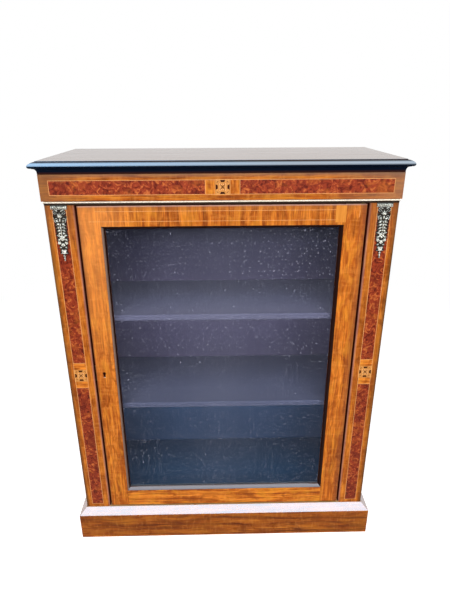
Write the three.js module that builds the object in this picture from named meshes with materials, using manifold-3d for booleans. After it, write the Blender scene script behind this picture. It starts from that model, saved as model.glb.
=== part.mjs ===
// Glazed pier cabinet in walnut with burr amboyna panels, marquetry tablets, cast brass mounts
// and a moulded ebonised top. Millimetres, +Z up, the front faces -Y.
// Everything is drawn from the front plane of the pilasters, y = 0, and from the floor, z = 0.
import * as THREE from "three";
import { mergeVertices } from "three/addons/utils/BufferGeometryUtils.js";
import Module from "manifold-3d";

const wasm = await Module();
wasm.setup();

// Case
const case_width = 780;
const case_depth = 303;
const side_thickness = 20;
const pilaster_width = 65.5;
const pilaster_round = 6;
const bottom_thickness = 16;
const dust_board_thickness = 16;
const back_thickness = 12;
const back_rebate = 8;
const back_board_count = 5;
const back_groove = 2;
const opening_height = 855;

// Plinth
const plinth_face_height = 80;
const plinth_overhang = 19.4;
const plinth_margin = 1.5;
const plinth_arris = 0.5;
const plinth_ledge = 5.5;
const plinth_rail_thickness = 20;
const glue_block_leg = 42;
const glue_block_height = 66;

// Frieze and rope moulding
const frieze_height = 57;
const frieze_projection = 4.2;
const rope_height = 9;
const rope_projection = 6;
const rope_pitch = 10;
const rope_strand_share = 0.13;
const rope_arc_count = 6;
const rope_ring_count = 3;

// Top
const top_thickness = 28;
const top_board_thickness = 14;
const top_overhang = 18.8;
const top_flat_overhang = 5.6;
const top_back_overhang = 15;
const top_quirk = 1.5;
const top_frame_width = 26;
const cove_foot = 4;
const cove_fillet = 1.5;
const cove_head = 12;
const cove_height = 11;
const nose_radius = 4.6;
const nose_fillet = 1;

// Inlay: burr panels, their boxwood lines and the marquetry tablets
const veneer = 1;
const stringing = 2;
const panel_zone = 34;
const pilaster_border = 14;
const panel_foot_margin = 8;
const panel_head_margin = 4;
const tablet_height = 427;
const tablet_block = 68;
const frieze_block = 72;
const frieze_panel_margin = 14.5;
const tablet_backing = 0.4;
const tablet_gap = 0.15;
const arm_margin = 2;
const arm_outer = 11.5;
const arm_inner = 7;
const arm_depth = 4.6;
const cross_reach = 4.6;
const cross_bar = 1.4;
const corner_line_reach = 4.2;
const corner_line_width = 0.9;
const corner_line_offset = 11;

// Door
const door_thickness = 22;
const door_gap = 4.5;
const door_lift = 4;
const door_head_gap = 2;
const stile_width = 48.6;
const bottom_rail_height = 50.7;
const top_rail_height = 46.6;
const sight_lip = 7;
const sight_depth = 11;
const sight_quirk = 0.8;
const sight_fillet = 2;
const sight_hollow_shares = [0.75, 0.35];
const glass_rebate = 6;
const glass_thickness = 2.5;
const glass_clearance = 0.6;
const bead_thickness = 7;
const bead_width = 12.5;
const mitre_gap = 0.2;
const tenon_length = 30;
const tenon_thickness = 8;
const tenon_inset = 7;
const tenon_shoulder = 12;
const tenon_end_gap = 0.5;

// Pivot hinges at the right-hand end of the door
const pivot_from_edge = 9;
const pivot_from_face = 7;
const pivot_radius = 2.5;
const pivot_hole_gap = 0.1;
const pivot_plate_length = 44;
const pivot_plate_width = 10;
const pivot_plate_thickness = 2.5;
const pivot_plate_inset = 2;
const pivot_pin_reach = 4;
const pivot_collar = 4;
const seat_gap = 0.3;

// Lock in the left-hand stile
const lock_height = 427;
const lock_width = 36;
const lock_length = 60;
const lock_thickness = 12;
const bolt_height = 14;
const bolt_thickness = 4;
const bolt_length = 22;
const bolt_clearance = 0.3;
const bolt_set_back = 0.5;
const bolt_throw = 9.5;
const bolt_end_room = 5;
const keep_length = 44;
const keep_width = 12;
const keep_thickness = 1.5;
const key_from_edge = 20;
const key_radius = 2.8;
const key_slot = 2.6;
const key_drop = 10.5;
const key_liner = 1.3;
const key_liner_depth = 2;

// Inside
const lining = 1.2;
const shelf_thickness = 16;
const shelf_round = 4;
const shelf_front = 34;
const shelf_end_gap = 1;
const upper_shelf_height = 576;
const lower_shelf_height = 321;
const bearer_height = 16;
const bearer_thickness = 10;
const bearer_set_back = 30;
const stop_width = 18;
const stop_thickness = 8;
const stop_gap = 0.4;

// Cast mounts at the heads of the pilasters
const mount_height = 131;
const mount_cap_width = 37;
const mount_cap_height = 7;
const mount_cap_drop = 4.5;
const mount_relief = 5;
const mount_backing = 1.2;
const mount_bead = 2.5;
const mount_bead_count = 8;
const mount_scroll_radius = 1.5;
const mount_body_half = 13.5;
const mount_shoulder_half = 14.8;

// Figures of the mounts. Places across, lengths and radii are shares of the body's half width, and
// places down are shares of the mount's height. Middle leaves have their length as a share of the height.
const relief_shares = { leaf: 0.62, berry: 0.8 };
const leaf_width_shares = [0, 0.72, 1, 0.62, 0];
const flower_shares = { boss: 0.36, reach: 0.62, petal_width: 0.3, petal_length: 0.42, petal_relief: 0.66 };
const scroll_rise_share = 0.6;
const outline_shares = [
  [0.98, 0.09], [1, 0.2], [0.86, 0.3], [0.96, 0.38], [0.8, 0.46], [0.98, 0.56], [0.92, 0.66],
  [0.6, 0.74], [0.62, 0.82], [0.32, 0.86], [0.3, 0.92], [0.12, 0.95], [0.08, 1],
];
const scroll_shares = [
  [0.15, 0.1], [0.8, 0.12], [1, 0.2], [0.78, 0.28], [0.36, 0.33], [0.2, 0.29], [0.42, 0.27],
];
const side_leaf_width_share = 0.34;
const side_leaves = [
  { at_shares: [0.05, 0.17], length_share: 0.62, turn: 2.2 },
  { at_shares: [0.05, 0.23], length_share: 0.56, turn: 2.2 },
  { at_shares: [0.05, 0.29], length_share: 0.5, turn: 2.1 },
  { at_shares: [0.05, 0.45], length_share: 1, turn: 2.35 },
  { at_shares: [0.05, 0.53], length_share: 1.05, turn: 2.3 },
  { at_shares: [0.25, 0.7], length_share: 0.72, turn: 2.1 },
  { at_shares: [0.1, 0.83], length_share: 0.6, turn: 1.1 },
];
const side_flowers = [{ at_shares: [0.74, 0.6], radius_share: 0.3, petals: 5, relief_share: 0.9 }];
const berry_place_shares = [0.62, 0.42];
const berry_share = 0.2;
const middle_leaves = [
  { down_share: 0.1, length_share: 0.25, width_share: 0.62, relief_share: 1 },
  { down_share: 0.36, length_share: 0.2, width_share: 0.5, relief_share: 0.9 },
  { down_share: 0.88, length_share: 0.12, width_share: 0.36, relief_share: 0.8 },
];
const middle_flowers = [
  { down_share: 0.62, radius_share: 0.46, petals: 6, relief_share: 1 },
  { down_share: 0.74, radius_share: 0.36, petals: 5, relief_share: 0.9 },
  { down_share: 0.85, radius_share: 0.33, petals: 5, relief_share: 1 },
];

// Tool allowances
const overrun = 5;
const weld_distance = 0.001;
const lap = 1;

// Levels and planes worked out from the sizes above
const half_case = case_width / 2;
const half_opening = half_case - pilaster_width;
const pilaster_thickness = door_thickness + stop_gap;
const floor_level = plinth_face_height + bottom_thickness;
const head_level = floor_level + opening_height;
const frieze_level = head_level + rope_height;
const top_level = frieze_level + frieze_height;
const overall_height = top_level + top_thickness;
const lining_front = pilaster_thickness + stop_thickness;
const back_front = case_depth - back_thickness;
const inner_half = half_case - side_thickness;
const panel_centre = half_case - pilaster_border - panel_zone / 2;
const frieze_half = half_case + frieze_projection;

const half_door = half_opening - door_gap;
const half_sight = half_door - stile_width;
const door_foot = floor_level + door_lift;
const door_head = head_level - door_head_gap;
const sight_foot = door_foot + bottom_rail_height;
const sight_head = door_head - top_rail_height;
const pivot_x = half_door - pivot_from_edge;
const pivot_hole_radius = pivot_radius + pivot_hole_gap;

const FRONT = new THREE.Vector3(0, -1, 0);
const BACK = new THREE.Vector3(0, 1, 0);
const LEFT = new THREE.Vector3(-1, 0, 0);
const RIGHT = new THREE.Vector3(1, 0, 0);
const UP = new THREE.Vector3(0, 0, 1);
const DOWN = new THREE.Vector3(0, 0, -1);

// Finishes
const finish = (color, roughness, metalness = 0, opacity = 1) => () =>
  new THREE.MeshStandardMaterial({
    color,
    roughness,
    metalness,
    opacity,
    transparent: opacity < 1,
  });
const walnut = finish(0xb9692f, 0.35);
const burr = finish(0x93462a, 0.3);
const boxwood = finish(0xe0a35c, 0.4);
const dark_wood = finish(0x3a140b, 0.4);
const ebonised = finish(0x15161a, 0.25);
const deal = finish(0xb08a5c, 0.8);
const brass = finish(0xb8aa84, 0.35, 1);
const bright_brass = finish(0xd9c08a, 0.3, 1);
const glass = finish(0xcfd8dc, 0.05, 0, 0.3);
const cloth = finish(0x4f4f63, 0.95);

const cabinet = new THREE.Group();

function add(name, geometry, material) {
  const mesh = new THREE.Mesh(geometry, material());
  mesh.name = name;
  cabinet.add(mesh);
  return mesh;
}

// A right-hand piece and its mirror image on the left.
function addPair(name, geometry, material) {
  add(name + "_right", geometry, material);
  add(name + "_left", geometry, material).scale.x = -1;
}

// Solids and their joins and cuts
function solid(geometry) {
  const bare = geometry.index ? geometry.toNonIndexed() : geometry.clone();
  bare.deleteAttribute("normal");
  bare.deleteAttribute("uv");
  const merged = mergeVertices(bare, weld_distance);
  return new wasm.Manifold(
    new wasm.Mesh({
      numProp: 3,
      vertProperties: merged.attributes.position.array,
      triVerts: new Uint32Array(merged.index.array),
    }),
  );
}

function geometryOf(body) {
  const mesh = body.getMesh();
  const geometry = new THREE.BufferGeometry();
  geometry.setAttribute("position", new THREE.BufferAttribute(mesh.vertProperties, 3));
  geometry.setIndex(new THREE.BufferAttribute(mesh.triVerts, 1));
  const flat = geometry.toNonIndexed();
  flat.computeVertexNormals();
  return flat;
}

function join(...geometries) {
  return geometryOf(geometries.map(solid).reduce((sum, next) => sum.add(next)));
}

function cut(geometry, ...tools) {
  return geometryOf(tools.map(solid).reduce((rest, tool) => rest.subtract(tool), solid(geometry)));
}

// A board between two values on each axis, given in either order.
function board([x0, x1], [y0, y1], [z0, z1]) {
  const geometry = new THREE.BoxGeometry(Math.abs(x1 - x0), Math.abs(y1 - y0), Math.abs(z1 - z0));
  return geometry.translate((x0 + x1) / 2, (y0 + y1) / 2, (z0 + z1) / 2);
}

// A straight run of moulding. The profile's first axis points outwards and its second one along up.
// A mitre of 1 grows the end with the outward distance, as on an outside corner, and -1 shortens it.
// Nearer in than the root, an end is square.
function run({ profile, outward, up, centre, length, mitres = [0, 0], root = -Infinity, segments = 6 }) {
  const geometry = new THREE.ExtrudeGeometry(profile, {
    depth: length,
    bevelEnabled: false,
    curveSegments: segments,
  });
  const position = geometry.attributes.position;
  for (let i = 0; i < position.count; i += 1) {
    const out = Math.max(position.getX(i), root);
    const end = position.getZ(i) > length / 2 ? 1 : 0;
    const gap = mitres[end] ? mitre_gap / 2 : 0;
    const shift = mitres[end] * out - gap;
    position.setZ(i, position.getZ(i) - length / 2 + (end ? shift : -shift));
  }
  const along = new THREE.Vector3().crossVectors(outward, up);
  const turn = new THREE.Matrix4().makeBasis(outward, up, along).setPosition(centre);
  return geometry.applyMatrix4(turn);
}

function polygon(points) {
  return new THREE.Shape(points.map(([a, b]) => new THREE.Vector2(a, b)));
}

// A prism of a profile drawn in X and Y, standing on foot.
function upright(profile, foot, head, segments = 6) {
  const geometry = new THREE.ExtrudeGeometry(profile, {
    depth: head - foot,
    bevelEnabled: false,
    curveSegments: segments,
  });
  return geometry.translate(0, 0, foot);
}

// A cylinder along Z between two levels.
function rod(radius, x, y, foot, head, sides = 16) {
  const geometry = new THREE.CylinderGeometry(radius, radius, head - foot, sides);
  return geometry.rotateX(Math.PI / 2).translate(x, y, (foot + head) / 2);
}

// Plinth: boards with a chamfered head, rebated to carry the case bottom
function plinthProfile() {
  return polygon([
    [plinth_margin - plinth_ledge, 0],
    [plinth_overhang, 0],
    [plinth_overhang, plinth_face_height],
    [plinth_margin + plinth_arris, floor_level],
    [plinth_margin, floor_level],
    [plinth_margin, plinth_face_height],
    [plinth_margin - plinth_ledge, plinth_face_height],
  ]);
}

add(
  "plinth_front",
  run({
    profile: plinthProfile(),
    outward: FRONT,
    up: UP,
    centre: new THREE.Vector3(0, 0, 0),
    length: case_width,
    mitres: [1, 1],
  }),
  walnut,
);
addPair(
  "plinth_side",
  run({
    profile: plinthProfile(),
    outward: RIGHT,
    up: UP,
    centre: new THREE.Vector3(half_case, case_depth / 2, 0),
    length: case_depth,
    mitres: [0, 1],
  }),
  walnut,
);
const plinth_inner_half = half_case + plinth_margin - plinth_ledge;
const plinth_inner_front = plinth_ledge - plinth_margin;
add(
  "plinth_back_rail",
  board(
    [-plinth_inner_half, plinth_inner_half],
    [case_depth - plinth_rail_thickness, case_depth],
    [0, plinth_face_height],
  ),
  deal,
);
const block_corner = [plinth_inner_half, plinth_inner_front];
addPair(
  "plinth_block",
  upright(
    polygon([
      [block_corner[0] - glue_block_leg, block_corner[1]],
      block_corner,
      [block_corner[0], block_corner[1] + glue_block_leg],
    ]),
    plinth_face_height - glue_block_height,
    plinth_face_height,
  ),
  deal,
);

// Case: bottom, sides, dust board and back
const plate_half = pivot_plate_width / 2;
const plate_x = [half_door - pivot_plate_inset - pivot_plate_length, half_door - pivot_plate_inset];
const plate_y = [pivot_from_face - plate_half, pivot_from_face + plate_half];
add(
  "bottom_board",
  cut(
    board(
      [-half_case - plinth_margin, half_case + plinth_margin],
      [-plinth_margin, case_depth],
      [plinth_face_height, floor_level],
    ),
    board(plate_x, plate_y, [floor_level - pivot_plate_thickness, floor_level + overrun]),
  ),
  deal,
);
addPair(
  "side_panel",
  upright(
    polygon([
      [inner_half, pilaster_thickness],
      [half_case, pilaster_thickness],
      [half_case, case_depth],
      [inner_half + back_rebate, case_depth],
      [inner_half + back_rebate, back_front],
      [inner_half, back_front],
    ]),
    floor_level,
    top_level,
  ),
  walnut,
);
add(
  "dust_board",
  board(
    [-inner_half, inner_half],
    [pilaster_thickness, back_front],
    [head_level, head_level + dust_board_thickness],
  ),
  deal,
);

function backBoards() {
  const half = inner_half + back_rebate;
  const outline = [
    [-half, back_front],
    [half, back_front],
    [half, case_depth],
  ];
  for (let i = back_board_count - 1; i > 0; i -= 1) {
    const x = -half + (2 * half * i) / back_board_count;
    outline.push([x + back_groove, case_depth], [x, case_depth - back_groove], [x - back_groove, case_depth]);
  }
  outline.push([-half, case_depth]);
  return upright(polygon(outline), floor_level, top_level);
}
add("back_boards", backBoards(), deal);

// Pilasters: the front posts of the case, rounded towards the door
const pilaster_panel = [panel_centre - panel_zone / 2 + stringing, panel_centre + panel_zone / 2 - stringing];
const tablet_centre = floor_level + tablet_height;
const upper_panel = [
  tablet_centre + tablet_block / 2 + stringing,
  head_level - panel_head_margin - stringing,
];
const lower_panel = [
  floor_level + panel_foot_margin + stringing,
  tablet_centre - tablet_block / 2 - stringing,
];
const lock_centre = floor_level + lock_height;
const bolt_y = door_thickness - lock_thickness / 2;
const keep_mortise = bolt_throw - door_gap + bolt_end_room;

function tabletSeat(x, front, z) {
  return [
    [x - panel_zone / 2, x + panel_zone / 2],
    [front, front + veneer + tablet_backing],
    [z - panel_zone / 2, z + panel_zone / 2],
  ];
}

function pilaster(side) {
  const inner = half_opening;
  const outline = new THREE.Shape();
  outline.moveTo(inner + pilaster_round, 0);
  outline.lineTo(half_case, 0);
  outline.lineTo(half_case, pilaster_thickness);
  outline.lineTo(inner, pilaster_thickness);
  outline.lineTo(inner, pilaster_round);
  outline.absarc(inner + pilaster_round, pilaster_round, pilaster_round, Math.PI, Math.PI * 1.5, false);
  const pockets = [upper_panel, lower_panel].map((rise) => board(pilaster_panel, [-overrun, veneer], rise));
  const [seat_x, seat_y, seat_z] = tabletSeat(panel_centre, 0, tablet_centre);
  pockets.push(board(seat_x, [-overrun, seat_y[1]], seat_z));
  if (side === "left") {
    const reach = inner + keep_thickness;
    const keep_y = [bolt_y - keep_width / 2, bolt_y + keep_width / 2];
    const keep_z = [lock_centre - keep_length / 2, lock_centre + keep_length / 2];
    pockets.push(board([inner - overrun, reach], keep_y, keep_z));
    pockets.push(board([inner, inner + keep_mortise], ...boltRoom(bolt_clearance * 2)));
  }
  return cut(upright(outline, floor_level, head_level, 5), ...pockets);
}

// The space round the bolt, in Y and Z, with a clearance on every side.
function boltRoom(clearance) {
  const y = bolt_thickness / 2 + clearance;
  const z = bolt_height / 2 + clearance;
  return [
    [bolt_y - y, bolt_y + y],
    [lock_centre - z, lock_centre + z],
  ];
}
add("pilaster_right", pilaster("right"), walnut);
add("pilaster_left", pilaster("left"), walnut).scale.x = -1;
addPair("burr_panel_upper", board(pilaster_panel, [0, veneer], upper_panel), burr);
addPair("burr_panel_lower", board(pilaster_panel, [0, veneer], lower_panel), burr);

// Frieze: one board across the front, stepped to make room for the rope moulding
const frieze_centre = frieze_level + frieze_height / 2;
const frieze_panel_x = [frieze_block / 2 + stringing, half_case - frieze_panel_margin - stringing];
const frieze_panel_z = [
  frieze_centre - panel_zone / 2 + stringing,
  frieze_centre + panel_zone / 2 - stringing,
];
const frieze_face = -frieze_projection;
const frieze_seat = tabletSeat(0, frieze_face, frieze_centre);
add(
  "frieze_board",
  cut(
    join(
      board([-half_case, half_case], [0, pilaster_thickness], [head_level, frieze_level + lap]),
      board([-frieze_half, frieze_half], [frieze_face, pilaster_thickness], [frieze_level, top_level]),
    ),
    ...[-1, 1].map((side) =>
      board(
        frieze_panel_x.map((x) => side * x),
        [frieze_face - overrun, frieze_face + veneer],
        frieze_panel_z,
      ),
    ),
    board(frieze_seat[0], [frieze_face - overrun, frieze_seat[1][1]], frieze_seat[2]),
    board(plate_x, plate_y, [head_level - overrun, head_level + pivot_plate_thickness]),
  ),
  walnut,
);
addPair(
  "frieze_burr",
  board(frieze_panel_x, [frieze_face, frieze_face + veneer], frieze_panel_z),
  burr,
);
addPair(
  "frieze_return",
  board([half_case, frieze_half], [pilaster_thickness, case_depth], [frieze_level, top_level]),
  walnut,
);

// Marquetry tablets: a boxwood ground pierced for dark arms, a small cross and corner lines
function tabletFigures(gap) {
  const half = panel_zone / 2;
  const outer = half - arm_margin;
  const inner = outer - arm_depth;
  const figures = [];
  for (let quarter = 0; quarter < 4; quarter += 1) {
    const arm = polygon([
      [-arm_inner / 2 - gap, inner - gap],
      [arm_inner / 2 + gap, inner - gap],
      [arm_outer / 2 + gap, outer + gap],
      [-arm_outer / 2 - gap, outer + gap],
    ]);
    const reach = corner_line_reach + gap;
    const width = corner_line_width / 2 + gap;
    const line = polygon([
      [-reach / 2, corner_line_offset * Math.SQRT2 - width],
      [reach / 2, corner_line_offset * Math.SQRT2 - width],
      [reach / 2, corner_line_offset * Math.SQRT2 + width],
      [-reach / 2, corner_line_offset * Math.SQRT2 + width],
    ]);
    figures.push({ shape: arm, turn: (quarter * Math.PI) / 2 });
    figures.push({ shape: line, turn: Math.PI / 4 + (quarter * Math.PI) / 2 });
  }
  for (const turn of [Math.PI / 4, -Math.PI / 4]) {
    const reach = cross_reach + gap;
    const width = cross_bar / 2 + gap;
    const shape = polygon([[-reach, -width], [reach, -width], [reach, width], [-reach, width]]);
    figures.push({ shape, turn });
  }
  return figures;
}

function figurePrism({ shape, turn }, [near, far]) {
  const geometry = new THREE.ExtrudeGeometry(shape, { depth: far - near, bevelEnabled: false });
  return geometry.rotateZ(turn).rotateX(Math.PI / 2).translate(0, far, 0);
}

function addTablet(name, x, front, z) {
  const [seat_x, seat_y, seat_z] = tabletSeat(x, front, z);
  const place = (geometry) => geometry.translate(x, 0, z);
  const face = front + veneer;
  const piercings = tabletFigures(tablet_gap).map((figure) =>
    place(figurePrism(figure, [front - overrun, face + overrun])),
  );
  add("tablet_ground_" + name, cut(board(seat_x, [front, face], seat_z), ...piercings), boxwood);
  const figures = tabletFigures(0).map((figure) =>
    place(figurePrism(figure, [front, face + tablet_backing / 2])),
  );
  add("tablet_inlay_" + name, join(board(seat_x, [face, seat_y[1]], seat_z), ...figures), dark_wood);
}
addTablet("frieze", 0, frieze_face, frieze_centre);
addTablet("right", panel_centre, 0, tablet_centre);
addTablet("left", -panel_centre, 0, tablet_centre);

// Rope moulding: a half-round brass strip whose surface follows the lay of twisted strands
function ropeMoulding() {
  const rings = Math.round(case_width / rope_pitch) * rope_ring_count;
  const vertices = [];
  const faces = [];
  for (let ring = 0; ring <= rings; ring += 1) {
    const x = -half_case + (case_width * ring) / rings;
    for (let i = 0; i < rope_arc_count; i += 1) {
      const angle = (Math.PI * i) / (rope_arc_count - 1);
      const lay = (2 * Math.PI * ring) / rope_ring_count + 2 * angle;
      const swell = 1 - rope_strand_share * (0.5 - 0.5 * Math.cos(lay)) * Math.sin(angle);
      const out = rope_projection * Math.sin(angle) * swell;
      const rise = (rope_height / 2) * Math.cos(angle);
      vertices.push(x, -out, head_level + rope_height / 2 + rise);
    }
  }
  for (let ring = 0; ring < rings; ring += 1) {
    for (let i = 0; i < rope_arc_count; i += 1) {
      const next = (i + 1) % rope_arc_count;
      const [a, b] = [ring * rope_arc_count + i, ring * rope_arc_count + next];
      const [c, d] = [a + rope_arc_count, b + rope_arc_count];
      faces.push(a, b, c, b, d, c);
    }
  }
  const last = rings * rope_arc_count;
  for (let i = 1; i < rope_arc_count - 1; i += 1) {
    faces.push(0, i + 1, i, last, last + i, last + i + 1);
  }
  const geometry = new THREE.BufferGeometry();
  geometry.setAttribute("position", new THREE.Float32BufferAttribute(vertices, 3));
  geometry.setIndex(faces);
  return geometry;
}
add("rope_moulding", ropeMoulding(), bright_brass);

// Top: a board with a planted moulding of quirk, nose and cove on three sides
function topProfile() {
  const cove_top = top_level + cove_fillet + cove_height;
  const nose_centre = [top_overhang - nose_radius, cove_top + nose_fillet + nose_radius];
  const shape = new THREE.Shape();
  shape.moveTo(top_flat_overhang - top_frame_width, top_level);
  shape.lineTo(cove_foot, top_level);
  shape.lineTo(cove_foot, top_level + cove_fillet);
  shape.quadraticCurveTo(cove_foot, cove_top, cove_head, cove_top);
  shape.lineTo(cove_head, cove_top + nose_fillet);
  shape.lineTo(nose_centre[0], cove_top + nose_fillet);
  shape.absarc(...nose_centre, nose_radius, -Math.PI / 2, 0, false);
  shape.bezierCurveTo(
    top_overhang,
    nose_centre[1] + nose_radius,
    top_flat_overhang + nose_radius,
    overall_height - top_quirk,
    top_flat_overhang,
    overall_height - top_quirk,
  );
  shape.lineTo(top_flat_overhang, overall_height - top_board_thickness);
  shape.lineTo(top_flat_overhang - top_frame_width, overall_height - top_board_thickness);
  shape.closePath();
  return shape;
}

const top_back = case_depth + top_back_overhang;
add(
  "top_moulding_front",
  run({
    profile: topProfile(),
    outward: FRONT,
    up: UP,
    centre: new THREE.Vector3(0, 0, 0),
    length: case_width,
    mitres: [1, 1],
    segments: 8,
  }),
  ebonised,
);
addPair(
  "top_moulding",
  run({
    profile: topProfile(),
    outward: RIGHT,
    up: UP,
    centre: new THREE.Vector3(half_case, top_back / 2, 0),
    length: top_back,
    mitres: [0, 1],
    segments: 8,
  }),
  ebonised,
);
const top_half = half_case + top_flat_overhang;
const core_half = top_half - top_frame_width;
const core_front = top_frame_width - top_flat_overhang;
add(
  "top_panel",
  join(
    board(
      [-top_half, top_half],
      [-top_flat_overhang, top_back],
      [overall_height - top_board_thickness, overall_height],
    ),
    board(
      [-core_half, core_half],
      [core_front, top_back],
      [top_level, overall_height - top_board_thickness + lap],
    ),
  ),
  ebonised,
);

// Door frame: stiles and tenoned rails, with a lip moulded round the glass
function lipProfile() {
  const shape = new THREE.Shape();
  shape.moveTo(-lap, sight_quirk);
  shape.lineTo(0, sight_quirk);
  shape.quadraticCurveTo(
    sight_lip * sight_hollow_shares[0],
    sight_quirk + (sight_depth - sight_fillet) * sight_hollow_shares[1],
    sight_lip,
    sight_depth - sight_fillet,
  );
  shape.lineTo(sight_lip, sight_depth);
  shape.lineTo(-lap, sight_depth);
  shape.closePath();
  return shape;
}

const sight_height = sight_head - sight_foot;
const sight_middle = (sight_head + sight_foot) / 2;
const inner_runs = {
  right: { outward: LEFT, centre: [half_sight, sight_middle], length: sight_height },
  left: { outward: RIGHT, centre: [-half_sight, sight_middle], length: sight_height },
  top: { outward: DOWN, centre: [0, sight_head], length: 2 * half_sight },
  bottom: { outward: UP, centre: [0, sight_foot], length: 2 * half_sight },
};

// A run round the inside of the door frame, mitred at both ends.
function innerRun(place, profile, root, segments = 4) {
  const { outward, centre, length } = inner_runs[place];
  return run({
    profile,
    outward,
    up: BACK,
    centre: new THREE.Vector3(centre[0], 0, centre[1]),
    length,
    mitres: [-1, -1],
    root,
    segments,
  });
}

const rails = {
  top: {
    foot: sight_head,
    head: door_head,
    tenon: [sight_head + tenon_shoulder, door_head - tenon_inset],
  },
  bottom: {
    foot: door_foot,
    head: sight_foot,
    tenon: [door_foot + tenon_inset, sight_foot - tenon_shoulder],
  },
};
const tenon_y = [tenon_inset, tenon_inset + tenon_thickness];
const rebate_x = half_sight + glass_rebate;
const rebate_y = [sight_depth, door_thickness + overrun];

function stile(side, sign) {
  const body = join(
    board([sign * half_sight, sign * half_door], [0, door_thickness], [door_foot, door_head]),
    innerRun(side, lipProfile(), 0),
  );
  const inside = sign * (half_sight - overrun);
  const tools = [
    board(
      [inside, sign * rebate_x],
      rebate_y,
      [sight_foot - glass_rebate, sight_head + glass_rebate],
    ),
  ];
  for (const { tenon } of Object.values(rails)) {
    tools.push(board([inside, sign * (half_sight + tenon_length + tenon_end_gap)], tenon_y, tenon));
  }
  return { body, tools };
}

function pivotCuts() {
  const plate_bottom = [door_foot - overrun, door_foot + pivot_plate_thickness];
  const plate_top = [door_head - pivot_plate_thickness, door_head + overrun];
  const deep = pivot_plate_thickness + pivot_pin_reach + seat_gap;
  return [
    board(plate_x, plate_y, plate_bottom),
    board(plate_x, plate_y, plate_top),
    rod(pivot_hole_radius, pivot_x, pivot_from_face, door_foot - overrun, door_foot + deep),
    rod(pivot_hole_radius, pivot_x, pivot_from_face, door_head - deep, door_head + overrun),
  ];
}

// A keyhole outline, with its round head above and its slot below.
function keyhole(grow) {
  const radius = key_radius + grow;
  const slot = key_slot / 2 + grow;
  const start = Math.asin(slot / radius);
  const shape = new THREE.Shape();
  shape.moveTo(-slot, -key_drop - grow);
  shape.lineTo(slot, -key_drop - grow);
  shape.absarc(0, 0, radius, -Math.PI / 2 + start, Math.PI * 1.5 - start, false);
  shape.closePath();
  return shape;
}

function keyholePrism(grow, near, far) {
  const geometry = new THREE.ExtrudeGeometry(keyhole(grow), {
    depth: far - near,
    bevelEnabled: false,
    curveSegments: 12,
  });
  geometry.rotateX(Math.PI / 2);
  return geometry.translate(-half_door + key_from_edge, far, lock_centre + key_drop / 2);
}

const lock_x = [-half_door, -half_door + lock_width];
const lock_y = [door_thickness - lock_thickness, door_thickness];
const lock_z = [lock_centre - lock_length / 2, lock_centre + lock_length / 2];

const right_stile = stile("right", 1);
add("door_stile_right", cut(right_stile.body, ...right_stile.tools, ...pivotCuts()), walnut);
const left_stile = stile("left", -1);
add(
  "door_stile_left",
  cut(
    left_stile.body,
    ...left_stile.tools,
    board([lock_x[0] - overrun, lock_x[1]], [lock_y[0], lock_y[1] + overrun], lock_z),
    keyholePrism(key_liner, -overrun, key_liner_depth),
    keyholePrism(0, -overrun, door_thickness),
  ),
  walnut,
);

for (const [place, { foot, head, tenon }] of Object.entries(rails)) {
  const rebate =
    place === "top" ? [foot - overrun, foot + glass_rebate] : [head - glass_rebate, head + overrun];
  const reach = half_sight + tenon_length;
  const body = join(
    board([-half_sight, half_sight], [0, door_thickness], [foot, head]),
    board([-reach, reach], tenon_y, tenon),
    innerRun(place, lipProfile(), 0),
  );
  add(
    "door_rail_" + place,
    cut(body, board([-half_sight - lap, half_sight + lap], rebate_y, rebate)),
    walnut,
  );
}

// Glass, and the beads that hold it from inside
const pane_half = rebate_x - glass_clearance;
add(
  "glass_pane",
  board(
    [-pane_half, pane_half],
    [sight_depth, sight_depth + glass_thickness],
    [sight_foot - glass_rebate + glass_clearance, sight_head + glass_rebate - glass_clearance],
  ),
  glass,
);
function beadProfile() {
  const near = sight_depth + glass_thickness;
  const far = near + bead_thickness;
  const shape = new THREE.Shape();
  shape.moveTo(-glass_rebate, near);
  shape.lineTo(bead_width - glass_rebate, near);
  shape.quadraticCurveTo(bead_width - glass_rebate, far, 0, far);
  shape.lineTo(-glass_rebate, far);
  shape.closePath();
  return shape;
}
for (const place of Object.keys(inner_runs)) {
  add("glazing_bead_" + place, innerRun(place, beadProfile(), -glass_rebate), walnut);
}

// Pivot hinges: a bushed plate let into each end of the stile, and a plate with a pin in the case
function doorPlate(foot) {
  return cut(
    board(plate_x, plate_y, [foot, foot + pivot_plate_thickness]),
    rod(pivot_hole_radius, pivot_x, pivot_from_face, foot - lap, foot + pivot_plate_thickness + lap),
  );
}
add("door_pivot_plate_bottom", doorPlate(door_foot), brass);
add("door_pivot_plate_top", doorPlate(door_head - pivot_plate_thickness), brass);
add(
  "case_pivot_bottom",
  join(
    board(plate_x, plate_y, [floor_level - pivot_plate_thickness, floor_level]),
    rod(pivot_collar, pivot_x, pivot_from_face, floor_level - lap, door_foot - seat_gap),
    rod(
      pivot_radius,
      pivot_x,
      pivot_from_face,
      floor_level - lap,
      door_foot + pivot_plate_thickness + pivot_pin_reach,
    ),
  ),
  brass,
);
add(
  "case_pivot_top",
  join(
    board(plate_x, plate_y, [head_level, head_level + pivot_plate_thickness]),
    rod(
      pivot_radius,
      pivot_x,
      pivot_from_face,
      door_head - pivot_plate_thickness - pivot_pin_reach,
      head_level + lap,
    ),
  ),
  brass,
);

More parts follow.
